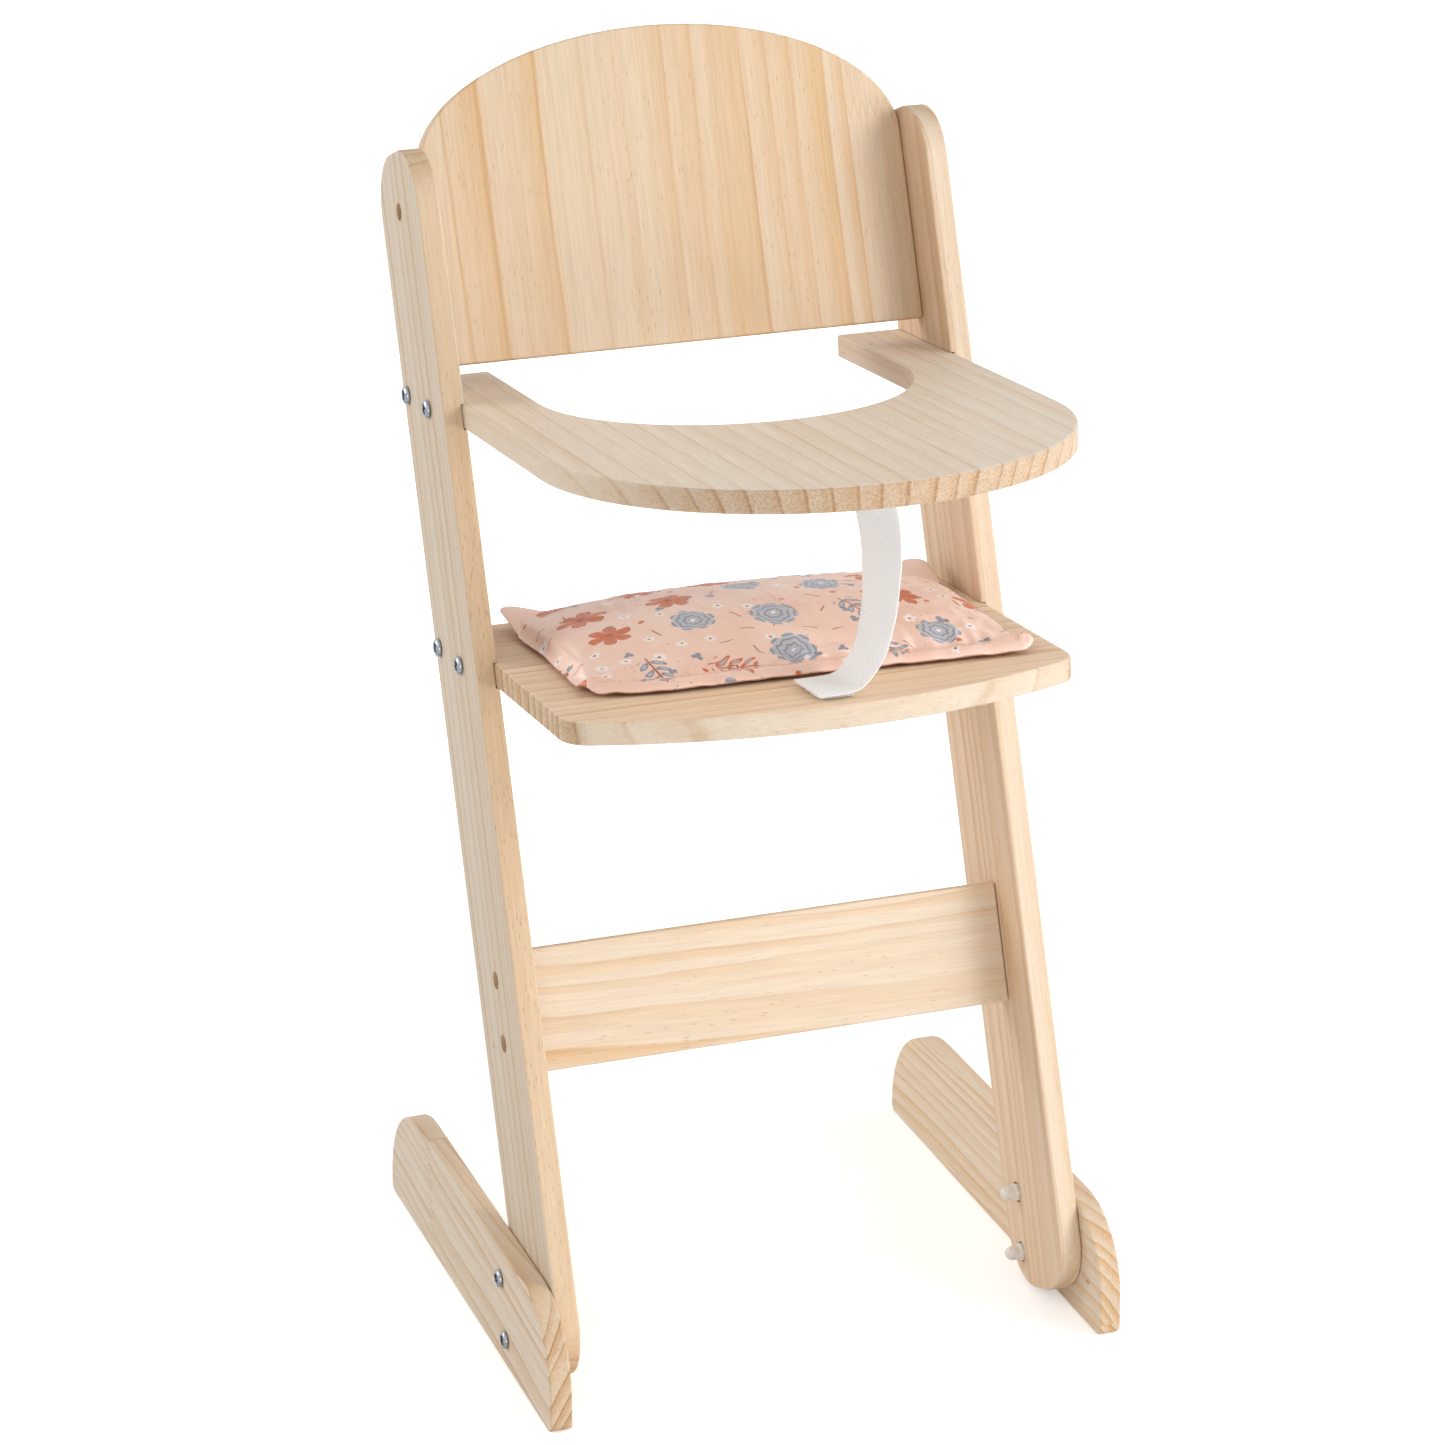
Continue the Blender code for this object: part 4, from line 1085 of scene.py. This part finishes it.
def satin_material():
    """Peach satin with a scattered print of generic flowers, leaves and dots, and painted shade in dark coral
    along the seam and on the underside near its rim.
    """
    material, n = new_material("satin", 0.32, 0.30, specular_ior_level=0.25, sheen_weight=0.08,
                               sheen_roughness=0.4)
    u, v, _ = n.separate(n.add("UVMap", uv_map="flat").outputs[0])
    below = n.above(u, BOTTOM_UV / 2)
    place = n.combine(u, v)
    cloud = n.noise(place, 2.0, scale=28.0)
    colour = n.mix(n.step(cloud, 0.35, 0.7), PEACH, PEACH_CLOUD)
    colour = print_large(n, print_small(n, colour, place), place)
    own_u = n.minus(u, n.times(below, BOTTOM_UV))
    # Painted shade: a dark coral line along the seam, and the underside darker towards its rim (turned)
    edge = n.math("MINIMUM", n.minus(CUT_W / 2, n.abs(own_u)), n.minus(CUT_D / 2, n.abs(v)))
    seam_shade = n.step(edge, 0.0004, 0.0009, 0.55, 0.0)
    turned = n.times(below, n.step(edge, 0.003, 0.016, 0.8, 0.0))
    colour = n.mix(n.most(seam_shade, turned), colour, CORAL_PAINTED_SHADE)
    n.shade("Base Color", colour)
    yarn = n.sin(n.times(n.plus(u, v), math.tau / SATIN_YARN))
    slub = n.noise(n.vector("MULTIPLY", place, (900, 5200, 1)), 2.0)
    n.shade("Normal", n.bump(n.linear(yarn, 0.25, slub), 0.000025))
    n.shade("Roughness", n.step(slub, 0.3, 0.7, 0.36, 0.46))
    return material


def thread_material():
    material, n = new_material("thread", 0.5, sheen_weight=0.3)
    here = n.here()
    ply = n.sin(n.dot(here, (9000, 9000, 2000)))
    # Painted shade: the thread darker in the grooves of its twist
    n.shade("Base Color", n.mix(n.step(ply, -1.0, 1.0), rgb(0.82, 0.48, 0.39), rgb(0.90, 0.62, 0.53)))
    n.shade("Normal", n.bump(ply, 0.00004))
    return material


STITCH = 0.0017
STITCH_PITCH = 0.0029
FIRST_STITCH = 0.002
THREAD_R = 0.00026
THREAD_STEPS = 8


def add_thread(bm, start, end):
    """A short round-ended thread between two points, added to bm."""
    length = (end - start).length
    r = THREAD_R
    profile = ((0.0, -r), (r * 0.7, -r * 0.7), (r, 0), (r * 1.05, length / 2), (r, length),
               (r * 0.7, length + r * 0.7), (0.0, length + r))
    turn_form(bm, profile, THREAD_STEPS, pointed(start, end, "Z"))


def add_stitches(cover, hem_path, place):
    """Small stitches of thread along the front hem, pressed into the cloth."""
    bm = bmesh.new()
    length = 0.0
    marks = [(0.0, hem_path[0])]
    for first, second in zip(hem_path, hem_path[1:]):
        length += (second - first).length
        marks.append((length, second))

    def point_at(distance):
        for (low, first), (high, second) in zip(marks, marks[1:]):
            if distance <= high:
                spot = first.lerp(second, (distance - low) / (high - low))
                break
        _, near, normal, _ = cover.closest_point_on_mesh(spot)
        return near + normal * THREAD_R * 0.5

    start = FIRST_STITCH
    while start + STITCH < length:
        add_thread(bm, point_at(start), point_at(start + STITCH))
        start += STITCH_PITCH
    mesh = finished(solid_mesh("cushion_stitches", bm), thread_material())
    add_piece("cushion_stitches", mesh, "cushion", place)


def add_cushion(material):
    """A thin satin pillow on the seat, sewn through along its front hem."""
    bm, grids = sewn_panels()
    places = filled_places(bm, grids)
    rest_cushion(places, grids)
    hem_path = [grids[0][HEM_ROW][i].co.copy() for i in range(2, COLUMNS - 1)]
    place = (SEAT_FRAME @ Matrix.Translation((CUSHION_X, -CUSHION_PLACE, PLAY))
             @ Matrix.Rotation(CUSHION_TURN, 4, "Z"))
    cover = add_piece("cushion_cover", plain_mesh("cushion_cover", bm), "cushion", place)
    cover.modifiers.new("fine", "SUBSURF").levels = 1
    fine = bpy.data.meshes.new_from_object(applied(cover))
    cover.modifiers.clear()
    cover.data = fine
    fine.shade_smooth()
    set_material(fine, material)
    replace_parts(cover, "cushion")
    add_stitches(cover, hem_path, place)


# Camera and studio

WORLD_STRENGTH = 0.46
FLOOR_LIFT = 0.40
FLOOR_SIZE = 6
FLOOR_DROP = 0.0002

# Name, place, target, size and power of each lamp
LAMPS = (
    ("right", (1.9, -0.2, 0.8), (0, 0, 0.25), 2.0, 14.0),
    ("upper", (1.1, -1.0, 1.0), (0, 0, 0.3), 0.7, 8.5),
    ("left", (-1.7, 1.0, 1.2), (0, 0, 0.3), 1.2, 19.0),
    ("key", (0.9, -1.6, 0.25), (0, 0, 0.1), 0.7, 8.5),
    ("front", (-0.6, -1.6, 0.25), (0, 0, 0.15), 0.8, 5.0))


def add_camera():
    camera = bpy.data.cameras.new("camera")
    camera.sensor_width = SENSOR
    camera.lens = FOCAL
    camera.clip_start = 0.05
    camera.clip_end = 50.0
    turn = (Matrix.Rotation(-CAMERA_RIGHT, 4, "Z") @ Matrix.Rotation(math.pi / 2 - CAMERA_DOWN, 4, "X")
            @ Matrix.Rotation(-CAMERA_ROLL, 4, "Z"))
    SCENE.camera = add_object("camera", camera, Matrix.Translation(CAMERA_PLACE) @ turn)


def add_lamp(name, place, target, size, power):
    """A white square lamp that faces its target."""
    light = bpy.data.lights.new(name, "AREA")
    light.shape = "SQUARE"
    light.size = size
    light.energy = power
    add_object(name, light, pointed(Vector(place), Vector(target), "-Z"))


def add_world():
    """A background that camera, glossy and transmission rays see white, and that lights less."""
    world = bpy.data.worlds.new("studio")
    SCENE.world = world
    world.use_nodes = True
    n = Nodes(world.node_tree)
    background = world.node_tree.nodes["Background"]
    n.put(background.inputs["Color"], rgb(1, 1, 1))
    rays = n.add("LightPath").outputs
    seen = n.most(n.most(rays["Is Camera Ray"], rays["Is Glossy Ray"]), rays["Is Transmission Ray"])
    n.put(background.inputs["Strength"], n.most(seen, WORLD_STRENGTH))


def add_floor():
    """A pale floor that keeps the chair's shadow and is as white as the background further out."""
    bm = bmesh.new()
    bmesh.ops.create_grid(bm, x_segments=1, y_segments=1, size=FLOOR_SIZE)
    bmesh.ops.translate(bm, vec=(0, 0, -FLOOR_DROP), verts=bm.verts)
    material, n = new_material("floor", 0.9, specular_ior_level=0.0)
    here = n.here()
    speck = n.noise(n.scaled(here, 3.0), 2.0)
    n.shade("Base Color", n.mix(speck, rgb(0.90, 0.90, 0.90), rgb(0.93, 0.93, 0.93)))
    n.shade("Emission Color", rgb(1, 1, 1))
    rays = n.add("LightPath").outputs
    lifted = n.step(n.length(here), 0.22, 0.8, FLOOR_LIFT, 1.0)
    n.shade("Emission Strength", n.times(rays["Is Camera Ray"], lifted))
    floor = add_object("floor", finished(plain_mesh("floor", bm), material))


def add_studio():
    SCENE.view_settings.view_transform = "Standard"
    add_world()
    add_floor()
    for lamp in LAMPS:
        add_lamp(*lamp)


add_camera()
add_studio()
paint_boards()
add_screws()
add_cap_nuts()
add_strap(webbing_material())
add_cushion(satin_material())
set_material(NODES["strap_patch"].data, tape_material())
set_material(NODES["strap_screw"].data, ZINC)
